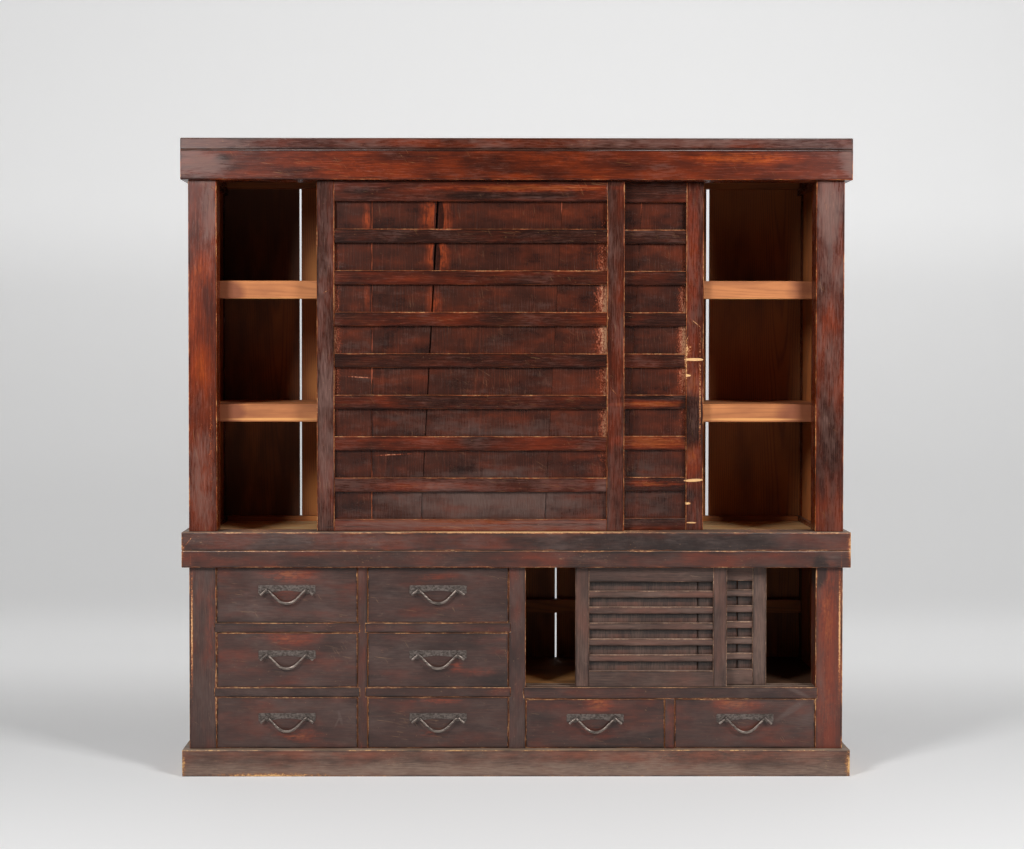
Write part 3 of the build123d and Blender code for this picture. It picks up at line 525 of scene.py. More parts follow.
def planed_cedar(
    name, pale, dark, bloom=None, figure=0.9, smoke=0.4, soot=None, light=None, lit=None
):
    """Unfinished cedar, planed and aged: matt, warm, with late-wood lines.

    Smoke is how far a board's darkness counts. Soot lists marks of painted shade, drawn in the dark
    colour, and light lists marks where it takes the lit colour, which on the back boards is painted
    light.
    """
    material, tree = new_material(name)
    board = BoardSockets(tree)
    fibre = cloud(tree, board.place, (0.10, 3 * MM, 3 * MM), detail=3, roughness=0.6)
    broken = add(tree, "MapRange", (fibre, 0.3, 0.6, 0.3 * figure, figure), **SMOOTH)
    late = add(tree, "Math", (growth_rings(tree, board), broken), operation="MULTIPLY")
    stain = cloud(tree, board.place, (0.30, 0.10, 0.10), detail=4)
    stain = add(tree, "Math", (board.darkness, smoke, stain), operation="MULTIPLY_ADD")
    # Soot marks paint shade in the dark colour
    if soot:
        stain = add(tree, "Math", (marks(tree, soot), 0.6, stain), operation="MULTIPLY_ADD")
    coats = [(late, dark), (add(tree, "MapRange", (stain, 0.42, 0.9, 0.0, 0.9), **SMOOTH), dark)]
    # Light marks paint light in the lit colour on the back boards, and keep the shelves' lower
    # arrises pale
    if light:
        kept = add(tree, "MapRange", (marks(tree, light), 0.0, 0.9, 0.0, 0.9), **SMOOTH)
        coats.append((kept, lit))
    if bloom:
        dust = cloud(tree, board.place, (0.07, 0.03, 0.03), detail=5, roughness=0.7)
        coats.append((add(tree, "MapRange", (dust, 0.4, 0.65, 0.0, 0.8), **SMOOTH), bloom))
    tint = pale
    for share, over in coats:
        tint = add(tree, "Mix", {0: share, 6: tint, 7: over}, data_type="RGBA")
    bump = add(tree, "Bump", {"Height": fibre, "Strength": 0.3, "Distance": 0.3 * MM})
    shader = add(tree, "BsdfPrincipled", {"Base Color": tint, "Roughness": 0.7, "Normal": bump})
    add(tree, "OutputMaterial", {"Surface": shader})
    return material


def forged_iron(name, dull, bright, gloss, patch):
    """Wrought iron, forged and smoked: dull scale, grey in patches of that size."""
    material, tree = new_material(name)
    place = add(tree, "TexCoord").outputs["Object"]
    dents = cloud(tree, place, (0.007, 0.007, 0.007), detail=3)
    rub = cloud(tree, place, patch, detail=4, roughness=0.65)
    share = add(tree, "MapRange", (rub, 0.35, 0.65), **SMOOTH)
    tint = add(tree, "Mix", {0: share, 6: dull, 7: bright}, data_type="RGBA")
    bump = add(tree, "Bump", {"Height": dents, "Strength": 0.4, "Distance": 0.5 * MM})
    # Scale and smoke lie over the metal, so it isn't wholly metallic
    shader = add(
        tree, "BsdfPrincipled",
        {"Base Color": tint, "Metallic": 0.75, "Roughness": gloss, "Normal": bump},
    )
    add(tree, "OutputMaterial", {"Surface": shader})
    return material


# Places of each finish that are worn red, bloomed grey, sooty, or rubbed bare, and places of painted
# light and shade, for marks() to read
CASE_SPOTS = {
    "red": (
        (-465, 1599, 210, 40, 0.5), (111, 1612, 236, 30, 0.4), (600, 1617, 190, 24, 2.0),
        (-824, 1325, 32, 60, 1.0), (-842, 1247, 22, 160, 0.7), (-824, 1064, 30, 90, 0.7),
        (-824, 778, 30, 120, 0.5), (814, 1169, 25, 120, 0.5),
    ),
    "bloom": (
        (-819, 1599, 110, 60, 0.9), (885, 1604, 55, 60, 1.8), (-805, 1468, 28, 75, 0.9),
        (600, 1604, 240, 60, -1.2), (819, 1377, 38, 220, 0.5), (-860, 1655, 150, 30, 0.6),
        (-840, 1150, 60, 200, -0.6), (819, 1490, 40, 110, 1.3), (-830, 760, 44, 190, 0.9),
        (400, 1655, 500, 26, 0.6),
    ),
    "soot": (
        (-766, 1617, 36, 20, 0.8), (-570, 1583, 80, 18, 0.5), (-98, 1596, 190, 36, 0.5),
        (819, 856, 36, 220, 0.6), (-842, 900, 14, 90, 0.4), (0, 1639, 4000, 5, 2.5),
        (0, 594, 4000, 5, 2.5),
    ),
    "raw": (
        (-878, 1300, 12, 330, 0.5), (-878, 900, 12, 280, 0.5), (-800, 900, 8, 260, 0.35),
    ),
}
BATTEN_SPOTS = {
    "red": (
        (20, 1541, 290, 12, 3.0), (360, 975, 130, 9, 3.4), (360, 877, 130, 26, 1.8),
        (360, 765, 90, 10, 2.4), (465, 1351, 26, 170, 0.8), (-180, 668, 300, 9, 3.0),
        (-120, 652, 260, 5, 2.0), (465, 1030, 30, 50, 1.6), (465, 840, 30, 60, 1.6),
        (-250, 760, 160, 14, 1.2),
    ),
    "bloom": (
        (-100, 654, 420, 14, 0.5), (222, 700, 30, 90, 1.0), (-503, 900, 30, 330, 0.8),
        (-300, 663, 170, 3, 1.6), (-120, 657, 230, 3, 1.8), (90, 666, 160, 3, 1.4),
    ),
    "soot": (
        (-46, 1520, 300, 10, 0.8), (-400, 1530, 90, 30, 0.5), (360, 992, 130, 9, 1.0),
        (470, 960, 44, 60, 1.1), (460, 895, 40, 50, 0.9), (465, 735, 40, 40, 0.8),
        (120, 660, 160, 4, 1.2), (-420, 654, 110, 4, 1.0), (-60, 673, 300, 3, 0.8),
    ),
    "raw": (
        (472, 1190, 24, 1.6, 0.8, -40), (452, 1150, 22, 1.6, 0.7, 60),
        (240, 1200, 30, 1.6, 0.6, 70), (255, 1010, 26, 1.6, 0.6, -50),
        (130, 1360, 20, 1.6, 0.6, 80), (-500, 1270, 18, 1.6, 0.6, 30), (469, 1093, 27, 4, 8.0),
        (469, 774, 27, 4, 8.0, 3), (452, 1051, 12, 4, 2.0), (452, 713, 12, 4, 2.2),
        (464, 662, 20, 3, 1.6), (448, 1070, 6, 110, 0.7), (485, 1000, 5, 300, 0.6),
        (455, 1120, 16, 30, 0.5),
    ),
}
PANEL_SPOTS = {
    "red": (
        (-214, 1458, 50, 90, 3.0), (-205, 1362, 40, 60, 2.6), (-216, 1240, 26, 60, 1.6),
        (-392, 1458, 14, 60, 1.6), (-392, 1260, 10, 60, 1.2),
    ),
    "soot": (
        (-203, 1465, 14, 70, 2.2), (-210, 1362, 12, 50, 1.8), (-460, 1440, 200, 18, 0.4),
        (240, 1440, 60, 30, 0.5),
    ),
    "raw": (
        (238, 1190, 46, 360, 0.78), (238, 880, 34, 160, 0.5), (-484, 1150, 34, 360, 0.7),
        (444, 1130, 28, 330, 0.72), (-410, 1046, 60, 3, 0.7, -4), (-330, 842, 90, 3, 0.6, 3),
        (130, 1210, 26, 3, 0.6, 75),
    ),
    "bloom": (
        (-60, 720, 420, 100, 1.3), (-60, 900, 420, 70, 0.5), (360, 760, 90, 120, 0.6),
        (-60, 1430, 440, 140, -1.6),
    ),
}
LOWER_SPOTS = {
    "raw": (
        (-640, 2, 260, 12, 0.8), (874, 30, 16, 60, 0.9), (-874, 30, 14, 60, 0.7),
        # The two marks at z 648 in the bays paint the lit strip of the sill's top face as a
        # highlight in bare-wood colour
        (-684, 648, 125, 9, 1.8), (0, 643, 560, 6, 1.3), (650, 648, 110, 9, 1.6),
        (-880, 600, 16, 70, 0.8), (876, 600, 16, 70, 0.8), (850, 380, 5, 260, 0.9),
        (-851, 380, 5, 260, 0.8), (-856, 618, 30, 2, 0.6, 50),
    ),
    "red": (
        (815, 440, 34, 190, 0.8), (815, 200, 32, 120, 0.8), (-800, 380, 22, 170, 0.6),
        (400, 60, 500, 30, 0.6), (-500, 66, 300, 24, 0.4),
    ),
    "bloom": (
        (0, 2, 1500, 44, 1.7), (800, 244, 18, 95, 1.0), (835, 580, 60, 26, 0.6),
        (730, 224, 60, 7, 1.8, -25), (680, 232, 60, 6, 1.4, 12), (-600, 624, 400, 24, 0.5),
        (391, 150, 16, 70, 0.8),
    ),
    "soot": (
        (-840, 500, 24, 120, 0.4), (796, 540, 26, 60, 1.4), (400, 612, 500, 34, 1.1),
    ),
}
DRAWER_SPOTS = {
    "red": (
        (-596, 527, 95, 28, 1.5), (-600, 470, 60, 40, 0.5), (-596, 361, 105, 26, 1.0),
        (-570, 103, 80, 22, 1.4), (-688, 191, 79, 21, 0.3), (-211, 522, 90, 18, 0.5),
        (-158, 292, 26, 26, 1.0), (-100, 272, 60, 20, 0.6), (-211, 197, 90, 16, 1.2),
        (-229, 113, 60, 20, 0.9), (216, 187, 48, 24, 1.6), (583, 189, 78, 24, 1.6),
        (216, 113, 60, 24, 0.7), (583, 120, 90, 30, 0.3),
    ),
    "bloom": (
        (727, 173, 60, 10, 1.8, 35), (760, 150, 60, 50, 0.4), (-330, 300, 100, 60, 0.3),
        (-330, 470, 80, 60, 0.3), (-462, 150, 5, 24, 1.6, 15), (-470, 140, 3, 20, 1.6, -25),
    ),
}
# Painted shadow on the boards of the slatted doors: a dark band in the soot colour just under each
# slat
SLAT_PAINTED_SHADOW = {"soot": [(400, 294 + 42 * step, 2500, 10, 1.8) for step in range(6)]}
# Painted shade at the shelves' ends, beside the posts that shadow them
SHELF_PAINTED_SHADE = (
    (-770, 1273, 60, 40, 1.2), (-770, 955, 60, 40, 1.2), (770, 955, 90, 40, 0.8),
    (770, 1273, 60, 40, 0.8),
)
SHELF_LIGHT = (
    (-640, 1252, 160, 5, 1.4), (-640, 934, 160, 5, 1.4), (620, 1252, 160, 5, 1.4),
    (620, 934, 160, 5, 1.4),
)
# Painted light on the back boards, where the lamps shine in beside the doors
BACK_PAINTED_LIGHT = (
    (-560, 1345, 90, 170, 5.0), (-560, 1030, 90, 150, 4.6), (-560, 700, 90, 160, 5.0),
    (545, 1370, 50, 190, 5.0), (545, 1045, 50, 170, 5.0), (545, 690, 50, 150, 4.6),
)


def paints():
    """The makers of each material, by the name of its finish."""
    cabinet = settings()
    cedar, iron = cabinet.cedar, cabinet.iron
    return {
        # Thick wiped lacquer: satin, red where cloths wore it thin, dull where dust dried on it
        "upper_case": lambda: lacquered_wood(
            "wiped_lacquer_upper_case", cabinet.case, CASE_SPOTS,
            figure=0.45, ring=0.12, rim=0.5, rub=0.8,
        ),
        # The same on the doors, darker, with pale lines and rubbed places where hands push them
        "batten": lambda: lacquered_wood(
            "wiped_lacquer_door_battens", cabinet.batten, BATTEN_SPOTS,
            figure=0.45, ring=0.15, rim=0.65, rub=0.5,
        ),
        # Thin old lacquer in the panels: nearly black, with upright smears and red seams
        "panel": lambda: lacquered_wood(
            "wiped_lacquer_door_panels", cabinet.panel, PANEL_SPOTS,
            figure=0.08, ring=0.15, rim=0.8, rub=0.3, smear=(0.045, 0.11),
        ),
        # Lacquer near the hearth: brown under a grey bloom, less shiny, chipped pale at arrises
        "lower_case": lambda: lacquered_wood(
            "dusty_lacquer_lower_case", cabinet.drawer, LOWER_SPOTS,
            figure=0.2, ring=0.1, bloom=0.05, gloss=0.32, rim=0.4, rub=0.9,
        ),
        # The base rail, which feet and brooms have knocked: greyest and dullest of all
        "base": lambda: lacquered_wood(
            "dusty_lacquer_base_rail", cabinet.base, LOWER_SPOTS,
            figure=0.2, ring=0.1, bloom=0.05, gloss=0.36, rim=0.4, rub=0.9,
        ),
        # Lacquer gone dry on thin slats: grey-brown and matt, with its grain open
        "slat": lambda: lacquered_wood(
            "dry_lacquer_slatted_doors", cabinet.slat,
            figure=0.3, ring=0.3, bloom=0.1, gloss=0.4, rim=0.5, rub=0.8,
        ),
        # The same on the boards behind them, with a painted shadow under each slat
        "slat_boards": lambda: lacquered_wood(
            "dry_lacquer_slatted_door_boards", cabinet.slat, SLAT_PAINTED_SHADOW,
            figure=0.3, ring=0.3, bloom=0.1, gloss=0.4, rim=0.5, rub=0.8,
        ),
        # Drawer fronts: even brown under a grey bloom, rubbed red above and below the handles
        "drawer": lambda: lacquered_wood(
            "dusty_lacquer_drawer_fronts", cabinet.drawer, DRAWER_SPOTS,
            figure=0.15, ring=0.08, bloom=0.05, gloss=0.3, rim=0.35, rub=0.9,
        ),
        # Bare planed cedar: matt, warm orange, with painted shade at its ends, where the posts
        # shadow it
        "shelf": lambda: planed_cedar(
            "planed_cedar_shelves_painted_shade", cedar.shelf, cedar.shelf_late,
            figure=0.35, soot=SHELF_PAINTED_SHADE, light=SHELF_LIGHT, lit=cedar.shelf_lit,
        ),
        # Bare planed cedar that is hardly handled: matt and pale
        "inner": lambda: planed_cedar("planed_cedar_inside", cedar.inner, cedar.inner_late),
        # Cedar under years of pots: brown, and black in its right corner with painted shade
        "cupboard": lambda: planed_cedar(
            "smoked_cedar_cupboard_floor_painted_shade", cedar.cupboard, cedar.cupboard_late,
            figure=0.4, soot=((720, 240, 260, 200, 3.5),),
        ),
        # Cedar smoked brown all over, with painted shade in the bays and painted light beside the
        # doors, where the lamps shine in
        "smoked": lambda: planed_cedar(
            "smoked_cedar_back_boards_painted_light_and_shade", cedar.back, cedar.back_late,
            figure=0.5, light=BACK_PAINTED_LIGHT, lit=cedar.back_lit,
        ),
        # Cedar at the wall: aged evenly, with plain late wood
        "outside": lambda: planed_cedar(
            "aged_cedar_outside", cedar.outside, cedar.outside_late, figure=0.8, smoke=0.08
        ),
        # Cedar under fine dust: pale and matt, with its late wood half hidden
        "floor": lambda: planed_cedar(
            "dusty_cedar_floor", cedar.floor, cedar.floor_late, cedar.floor_dust
        ),
        # Hammered plates, smoked with the wood: dull black-brown with dust in their pits
        "plate": lambda: forged_iron(
            "smoked_iron_plates", iron.soot, iron.dust, 0.6, (0.006, 0.004, 0.004)
        ),
        # Bails that hands keep clean: dark scale, rubbed grey, with a soft shine
        "bail": lambda: forged_iron(
            "rubbed_iron_bails", iron.scale, iron.rubbed, 0.38, (0.024, 0.020, 0.005)
        ),
    }


MADE = {}


def finish(name):
    """The material of that finish, made the first time it is asked for."""
    if name not in MADE:
        MADE[name] = paints()[name]()
    return MADE[name]


# Boards


def number_boards(bm):
    """Numbers each closed solid's faces in a face layer, in their order, and merges its corners."""
    board = bm.faces.layers.int.new("board")
    open_edges, count = {}, 0
    for face in bm.faces:
        face[board] = count
        corners = [tuple(round(c, 5) for c in v.co) for v in face.verts]
        for start, end in zip(corners, corners[1:] + corners[:1]):
            if open_edges.get((end, start)):
                open_edges[end, start] -= 1
                if not open_edges[end, start]:
                    del open_edges[end, start]
            else:
                open_edges[start, end] = open_edges.get((start, end), 0) + 1
        if not open_edges:
            count += 1
    for number in range(count):
        # A dict holds its keys in order, so every run merges and bevels alike
        corners = dict.fromkeys(v for f in bm.faces if f[board] == number for v in f.verts)
        bmesh.ops.remove_doubles(bm, verts=list(corners), dist=0.002 * MM)
    bmesh.ops.dissolve_limit(
        bm, angle_limit=radians(0.05), verts=bm.verts[:], edges=bm.edges[:],
        use_dissolve_boundaries=False,
    )
    return board, count


def extrude(bm, edges):
    """Draws faces out of these edges, and gives the new edges and their corners."""
    made = bmesh.ops.extrude_edge_only(bm, edges=edges)["geom"]
    corners = [g for g in made if isinstance(g, bmesh.types.BMVert)]
    drawn = [g for g in made if isinstance(g, bmesh.types.BMEdge)]
    return [e for e in drawn if all(v in corners for v in e.verts)], corners


def bevel(bm, edges, radius, steps):
    """Rounds these edges, and shades the new faces smooth."""
    made = bmesh.ops.bevel(
        bm, geom=edges, offset=radius, offset_type="OFFSET", segments=steps, profile=0.5,
        affect="EDGES", clamp_overlap=True, material=-1,
    )
    for face in made["faces"]:
        face.smooth = True


def is_arris(edge):
    """Whether an edge stands outwards between two faces at an angle."""
    return edge.is_manifold and edge.is_convex and edge.calc_face_angle(0) > radians(30)


def ease_arrises(bm, faces, radius, steps):
    """Bevels the outward edges of one board, but for those too short for the bevel."""
    edges = dict.fromkeys(e for f in faces for e in f.edges)
    sharp = [e for e in edges if is_arris(e) and e.calc_length() > 4 * radius]
    if sharp:
        bevel(bm, sharp, radius, steps)


def round_ends(bm, radius):
    """Rounds the two ends of a rail that lies along x, where knocks have worn it."""
    reach = max(v.co.x for v in bm.verts) - 0.1 * MM
    ends = [e for e in bm.edges if is_arris(e) and all(abs(v.co.x) > reach for v in e.verts)]
    bevel(bm, ends, radius, 4)


def add_piece(name, bm, node):
    """Turns a bmesh into a piece that stands for a node and rides where it rides."""
    mesh = bpy.data.meshes.new(name)
    bm.to_mesh(mesh)
    bm.free()
    piece = bpy.data.objects.new(name, mesh)
    bpy.context.scene.collection.objects.link(piece)
    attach(piece, frame["nodes"][node]["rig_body"])
    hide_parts(node)
    return piece


# Redness, bloom, darkness, and wear at foot and head, of a board that isn't in its piece's tones
PLAIN_TONE = (0.2, 0.2, 0.1, 0.6, 0.8)


def tone_board(bm, corners, grain, tone, chance):
    """Gives a board's corners its place, half size, tone and wear, for its material to read."""
    place, half, layer, wear = (
        bm.verts.layers.float_vector["board_place"], bm.verts.layers.float_vector["board_half"],
        bm.verts.layers.float_color["board_tone"], bm.verts.layers.float["board_wear"],
    )
    low = Vector(min(v.co[i] for v in corners) for i in range(3))
    high = Vector(max(v.co[i] for v in corners) for i in range(3))
    size = high - low
    along = size[:].index(max(size)) if grain is None else grain
    order = (along, *sorted({0, 1, 2} - {along}, key=lambda i: -size[i]))
    redness, bloom, darkness, foot, head = tone
    redness += chance.uniform(-0.1, 0.1)
    bloom += chance.uniform(-0.1, 0.1)
    darkness += chance.uniform(-0.05, 0.1)
    seed = chance.random()
    for v in corners:
        from_centre = v.co - (low + high) / 2
        v[place] = Vector(from_centre[i] for i in order)
        v[half] = Vector(size[i] / 2 for i in order)
        v[layer] = (seed, redness, bloom, darkness)
        share = 0.5 if along == 2 else (v.co.z - low.z) / size.z
        v[wear] = foot + (head - foot) * share


def dress_boards(node, lacquer, tones=None, grain=None, radius=None, bare=None, ends=None):
    """A copy of a wooden node with eased arrises and, on each board, its own place and tone.

    Tones gives boards, by number, their redness, bloom, darkness, and wear at foot and head.
    Grain is the axis that the grain follows, where it isn't a board's longest one.
    Bare is a finish and a test of a face's normal and centre, for faces left without lacquer.
    """
    boards = settings().boards
    radius = boards.arris if radius is None else radius
    tones = tones or {}
    bm = bmesh.new()
    bm.from_mesh(frame["nodes"][node].data)
    board, count = number_boards(bm)
    if ends:
        round_ends(bm, ends)
    if radius:
        for number in range(count):
            faces = [f for f in bm.faces if f[board] == number]
            ease_arrises(bm, faces, radius, boards.arris_steps)

    layers = bm.verts.layers
    layers.float_vector.new("board_place")
    layers.float_vector.new("board_half")
    layers.float_color.new("board_tone")
    layers.float.new("board_wear")
    for number in range(count):
        corners = {v for f in bm.faces if f[board] == number for v in f.verts}
        tone = tones.get(number, tones.get("all", PLAIN_TONE))
        tone_board(bm, corners, grain, tone, random.Random(f"{node} {number}"))
    if bare:
        for face in bm.faces:
            if bare[1](face.normal, face.calc_center_median()):
                face.material_index = 1
    bm.faces.layers.int.remove(board)
    piece = add_piece(node + "_dressed", bm, node)
    piece.data.materials.append(finish(lacquer))
    if bare:
        piece.data.materials.append(finish(bare[0]))


# Tests of a face's normal and centre


def faces_inwards(normal, centre):
    return normal.x * centre.x < -0.5 * abs(centre.x)


def faces_back(normal, centre):
    return normal.y > 0.5


def at_back(normal, centre):
    return centre.y > 0.15


def in_cupboard(normal, centre):
    return normal.z > 0.5 and centre.x > 0 and 0.15 < centre.z < 0.3


def behind_front(normal, centre):
    return not (normal.y < -0.5 and centre.y < -0.2)


# Tones of single boards, by number, for dress_boards() to read
# Boards 0 and 6, at the back of the left and right bays, are darkened as painted shade; board 1,
# right of the gap in the left bays, is lightened as painted light
BACK_PAINTED_LIGHT_AND_SHADE_TONES = {0: (0, 0, 0.55, 0, 0), 1: (0, 0, -1.0, 0, 0), 6: (0, 0, 0.6, 0, 0)}
UPPER_POST_TONES = {1: (0.5, 0.35, 0.0, 1.8, 1.8), 3: (0.25, 0.4, 0.2, 1.4, 1.4)}
SHELF_TONES = {0: (0, 0, 0.4, 0, 0), 4: (0, 0, 0.05, 0, 0)}
LOWER_POST_TONES = {
    1: (0.0, 0.55, 0.1, 2.0, 2.0), 3: (0.5, 0.15, 0.0, 2.4, 2.4), 4: (0.0, 0.4, 0.2, 1.2, 1.2),
}
LOWER_RAIL_TONES = {"all": (-0.2, 0.4, 0.25, 0.9, 1.3), 4: (-0.15, 0.25, 0.4, 1.4, 1.0)}


class CABINET_OT_upper_case(Operator):
    """Dresses the upper case: its frames, posts, boards and shelves"""

    bl_idname = "cabinet.upper_case"
    bl_label = "Upper case"

    def execute(self, context):
        wall = ("smoked", faces_inwards)
        sill_end = settings().boards.sill_end
        dress_boards("top_board", "upper_case", {0: (0.15, 0.5, 0.3, 0.1, 0.5)})
        dress_boards("upper_header_rail", "upper_case", {0: (0.35, 0.1, 0.15, 1.5, 0.5)})
        dress_boards(
            "upper_sill_rail", "lower_case", {0: (0.25, 0.4, 0.05, 2.0, 2.6)}, ends=sill_end
        )
        dress_boards("upper_posts", "upper_case", UPPER_POST_TONES)
        dress_boards("upper_frame_rails", "upper_case", bare=("smoked", at_back))
        dress_boards("upper_side_panels", "upper_case", bare=wall)
        dress_boards("upper_back_boards", "smoked", BACK_PAINTED_LIGHT_AND_SHADE_TONES, bare=("outside", faces_back))
        dress_boards("upper_floor_boards", "floor")
        dress_boards("upper_shelves", "shelf", SHELF_TONES, radius=2 * MM)
        dress_boards("upper_shelf_cleats", "inner")
        return {"FINISHED"}


class CABINET_OT_lower_case(Operator):
    """Dresses the lower case: its frames, posts, rails, boards and partitions"""

    bl_idname = "cabinet.lower_case"
    bl_label = "Lower case"

    def execute(self, context):
        boards = settings().boards
        wall = ("smoked", faces_inwards)
        dress_boards(
            "lower_top_rail", "lower_case", {0: (0.15, 0.2, 0.2, 2.0, 2.0)}, ends=boards.crown_end
        )
        dress_boards(
            "lower_base_rail", "base", {0: (0.3, 0.5, 0.0, 1.6, 2.0)}, ends=boards.base_end
        )
        dress_boards("lower_posts", "lower_case", LOWER_POST_TONES)
        dress_boards("lower_rails", "lower_case", LOWER_RAIL_TONES)
        dress_boards(
            "lower_frame_rails", "lower_case", {6: (0.0, 0.2, 0.3, 0.5, 0.5)},
            bare=("smoked", at_back),
        )
        dress_boards("lower_side_panels", "lower_case", bare=wall)
        dress_boards("lower_partitions", "lower_case", bare=("inner", behind_front))
        dress_boards(
            "lower_back_boards", "smoked", {"all": (0, 0, 0.4, 0, 0)}, bare=("outside", faces_back)
        )
        dress_boards(
            "lower_inner_boards", "inner", {4: (0, 0, 0.3, 0, 0)}, bare=("cupboard", in_cupboard)
        )
        dress_boards("drawer_guides", "inner")
        return {"FINISHED"}


# Boards of a battened door: 0 and 1 are its stiles, 2 and 3 its bottom and top rails, and 4 to 10
# its bars, from the lowest up
FRONT_DOOR_TONES = {
    0: (0.15, 0.65, 0.0, 1.4, 1.4), 1: (0.25, 0.6, 0.0, 2.0, 2.0), 2: (1.0, 1.0, -0.3, 0.8, 0.9),
    3: (0.35, 0.1, 0.15, 0.3, 0.3), 4: (0.25, 0.75, -0.05, 0.4, 1.7),
    5: (0.35, 0.2, 0.1, 0.4, 1.7), 6: (0.0, 0.2, 0.45, 0.4, 1.7), 7: (0.0, 0.15, 0.5, 0.4, 1.7),
    8: (0.3, 0.2, 0.15, 0.4, 1.8), 9: (0.35, 0.1, 0.15, 0.4, 1.8), 10: (-0.1, 0.15, 0.6, 0.4, 1.8),
}
REAR_DOOR_TONES = {
    0: (0.3, 0.2, 0.1, 0.6, 0.6), 1: (0.45, 0.55, 0.0, 1.6, 1.6), 2: (0.3, 0.4, 0.2, 0.4, 0.6),
    3: (0.1, 0.2, 0.3, 0.3, 0.3), 4: (0.3, 0.3, 0.2, 0.4, 1.8), 5: (0.7, 0.0, 0.0, 0.4, 1.9),
    6: (0.3, 0.2, 0.2, 0.4, 1.8), 7: (0.1, 0.25, 0.35, 0.4, 1.7), 8: (0.0, 0.2, 0.4, 0.4, 1.7),
    9: (0.05, 0.2, 0.35, 0.4, 1.8), 10: (0.1, 0.25, 0.3, 0.4, 1.8),
}
DOOR_PANEL_TONES = {"all": (0.15, 0.1, 0.25, 1.7, 1.7)}
SLAT_BOARD_TONES = {"all": (0.2, 0.25, 0.4, 0.1, 0.1)}
DRAWER_TONES = {
    **dict.fromkeys((1, 2, 3, 8), (-0.05, 0.6, 0.08, 1.0, 1.3)),
    **dict.fromkeys((4, 5, 6), (-0.2, 0.35, 0.25, 1.1, 1.4)),
    7: (-0.1, 0.3, 0.45, 1.1, 1.4),
}


class CABINET_OT_battened_doors(Operator):
    """Dresses the two battened sliding doors"""

    bl_idname = "cabinet.battened_doors"
    bl_label = "Battened doors"

    def execute(self, context):
        for side, tones in (("left", FRONT_DOOR_TONES), ("right", REAR_DOOR_TONES)):
            dress_boards(f"upper_{side}_door_frame", "batten", tones)
            # The panels' seams lean, so their arrises stay sharp and catch no light
            dress_boards(f"upper_{side}_door_boards", "panel", DOOR_PANEL_TONES, grain=2, radius=0)
        return {"FINISHED"}


class CABINET_OT_slatted_doors(Operator):
    """Dresses the two slatted sliding doors"""

    bl_idname = "cabinet.slatted_doors"
    bl_label = "Slatted doors"

    def execute(self, context):
        for side, dust in (("left", 0.1), ("right", 0.7)):
            tones = {"all": (0.1, dust, 0.1, 0.8, 1.0)}
            for slat in range(4, 9):
                tones[slat] = (0.45, dust + 0.35, -0.2, 0.3, 1.8)
            dress_boards(f"lower_{side}_door_frame", "slat", tones)
            dress_boards(f"lower_{side}_door_boards", "slat_boards", SLAT_BOARD_TONES, grain=2)
        return {"FINISHED"}


class CABINET_OT_drawers(Operator):
    """Dresses the eight drawers"""

    bl_idname = "cabinet.drawers"
    bl_label = "Drawers"

    def execute(self, context):
        for number, tone in DRAWER_TONES.items():
            dress_boards(
                f"drawer_{number}_front", "drawer", {0: tone}, bare=("inner", faces_back)
            )
            dress_boards(f"drawer_{number}_box", "inner", radius=0)
        return {"FINISHED"}


# Handles


def bail_stations():
    """(x, z, angle, height) of the bar from its left tip to its middle, about the pivot."""
    h = settings().handle
    leg, slope, turn, bow = h.leg_angle, h.slope_angle, h.turn, h.bow_radius
    outer, inner = ((-h.peak - turn * sin(a), turn * cos(a) - turn) for a in (leg, -slope))
    # The leg: drawn down to a blunt tip, and widest just before it
    stations = []
    for share, height in ((0.0, 0.8 * h.tip), (0.08, h.tip + (h.neck - h.tip) * 0.08),
                          (0.5, (h.tip + h.neck) / 2)):
        back = h.leg_length * (1 - share)
        stations.append((outer[0] - back * cos(leg), outer[1] - back * sin(leg), leg, height))
    # The shoulder, which hangs in the eye
    for step in range(7):
        a = leg - (leg + slope) * step / 6
        stations.append((-h.peak - turn * sin(a), turn * cos(a) - turn, a, h.neck))
    # The straight slope, and half of the bow
    foot_x = -bow * sin(slope)
    foot_z = inner[1] - (foot_x - inner[0]) * tan(slope)
    for share in (0.35, 0.7):
        stations.append((
            inner[0] + (foot_x - inner[0]) * share, inner[1] + (foot_z - inner[1]) * share,
            -slope, h.neck + (h.slope - h.neck) * share,
        ))
    for step in range(9):
        a = -slope * (1 - step / 8)
        stations.append((
            bow * sin(a), foot_z - bow * (cos(a) - cos(slope)), a,
            h.slope + (h.bow - h.slope) * step / 8,
        ))
    return stations


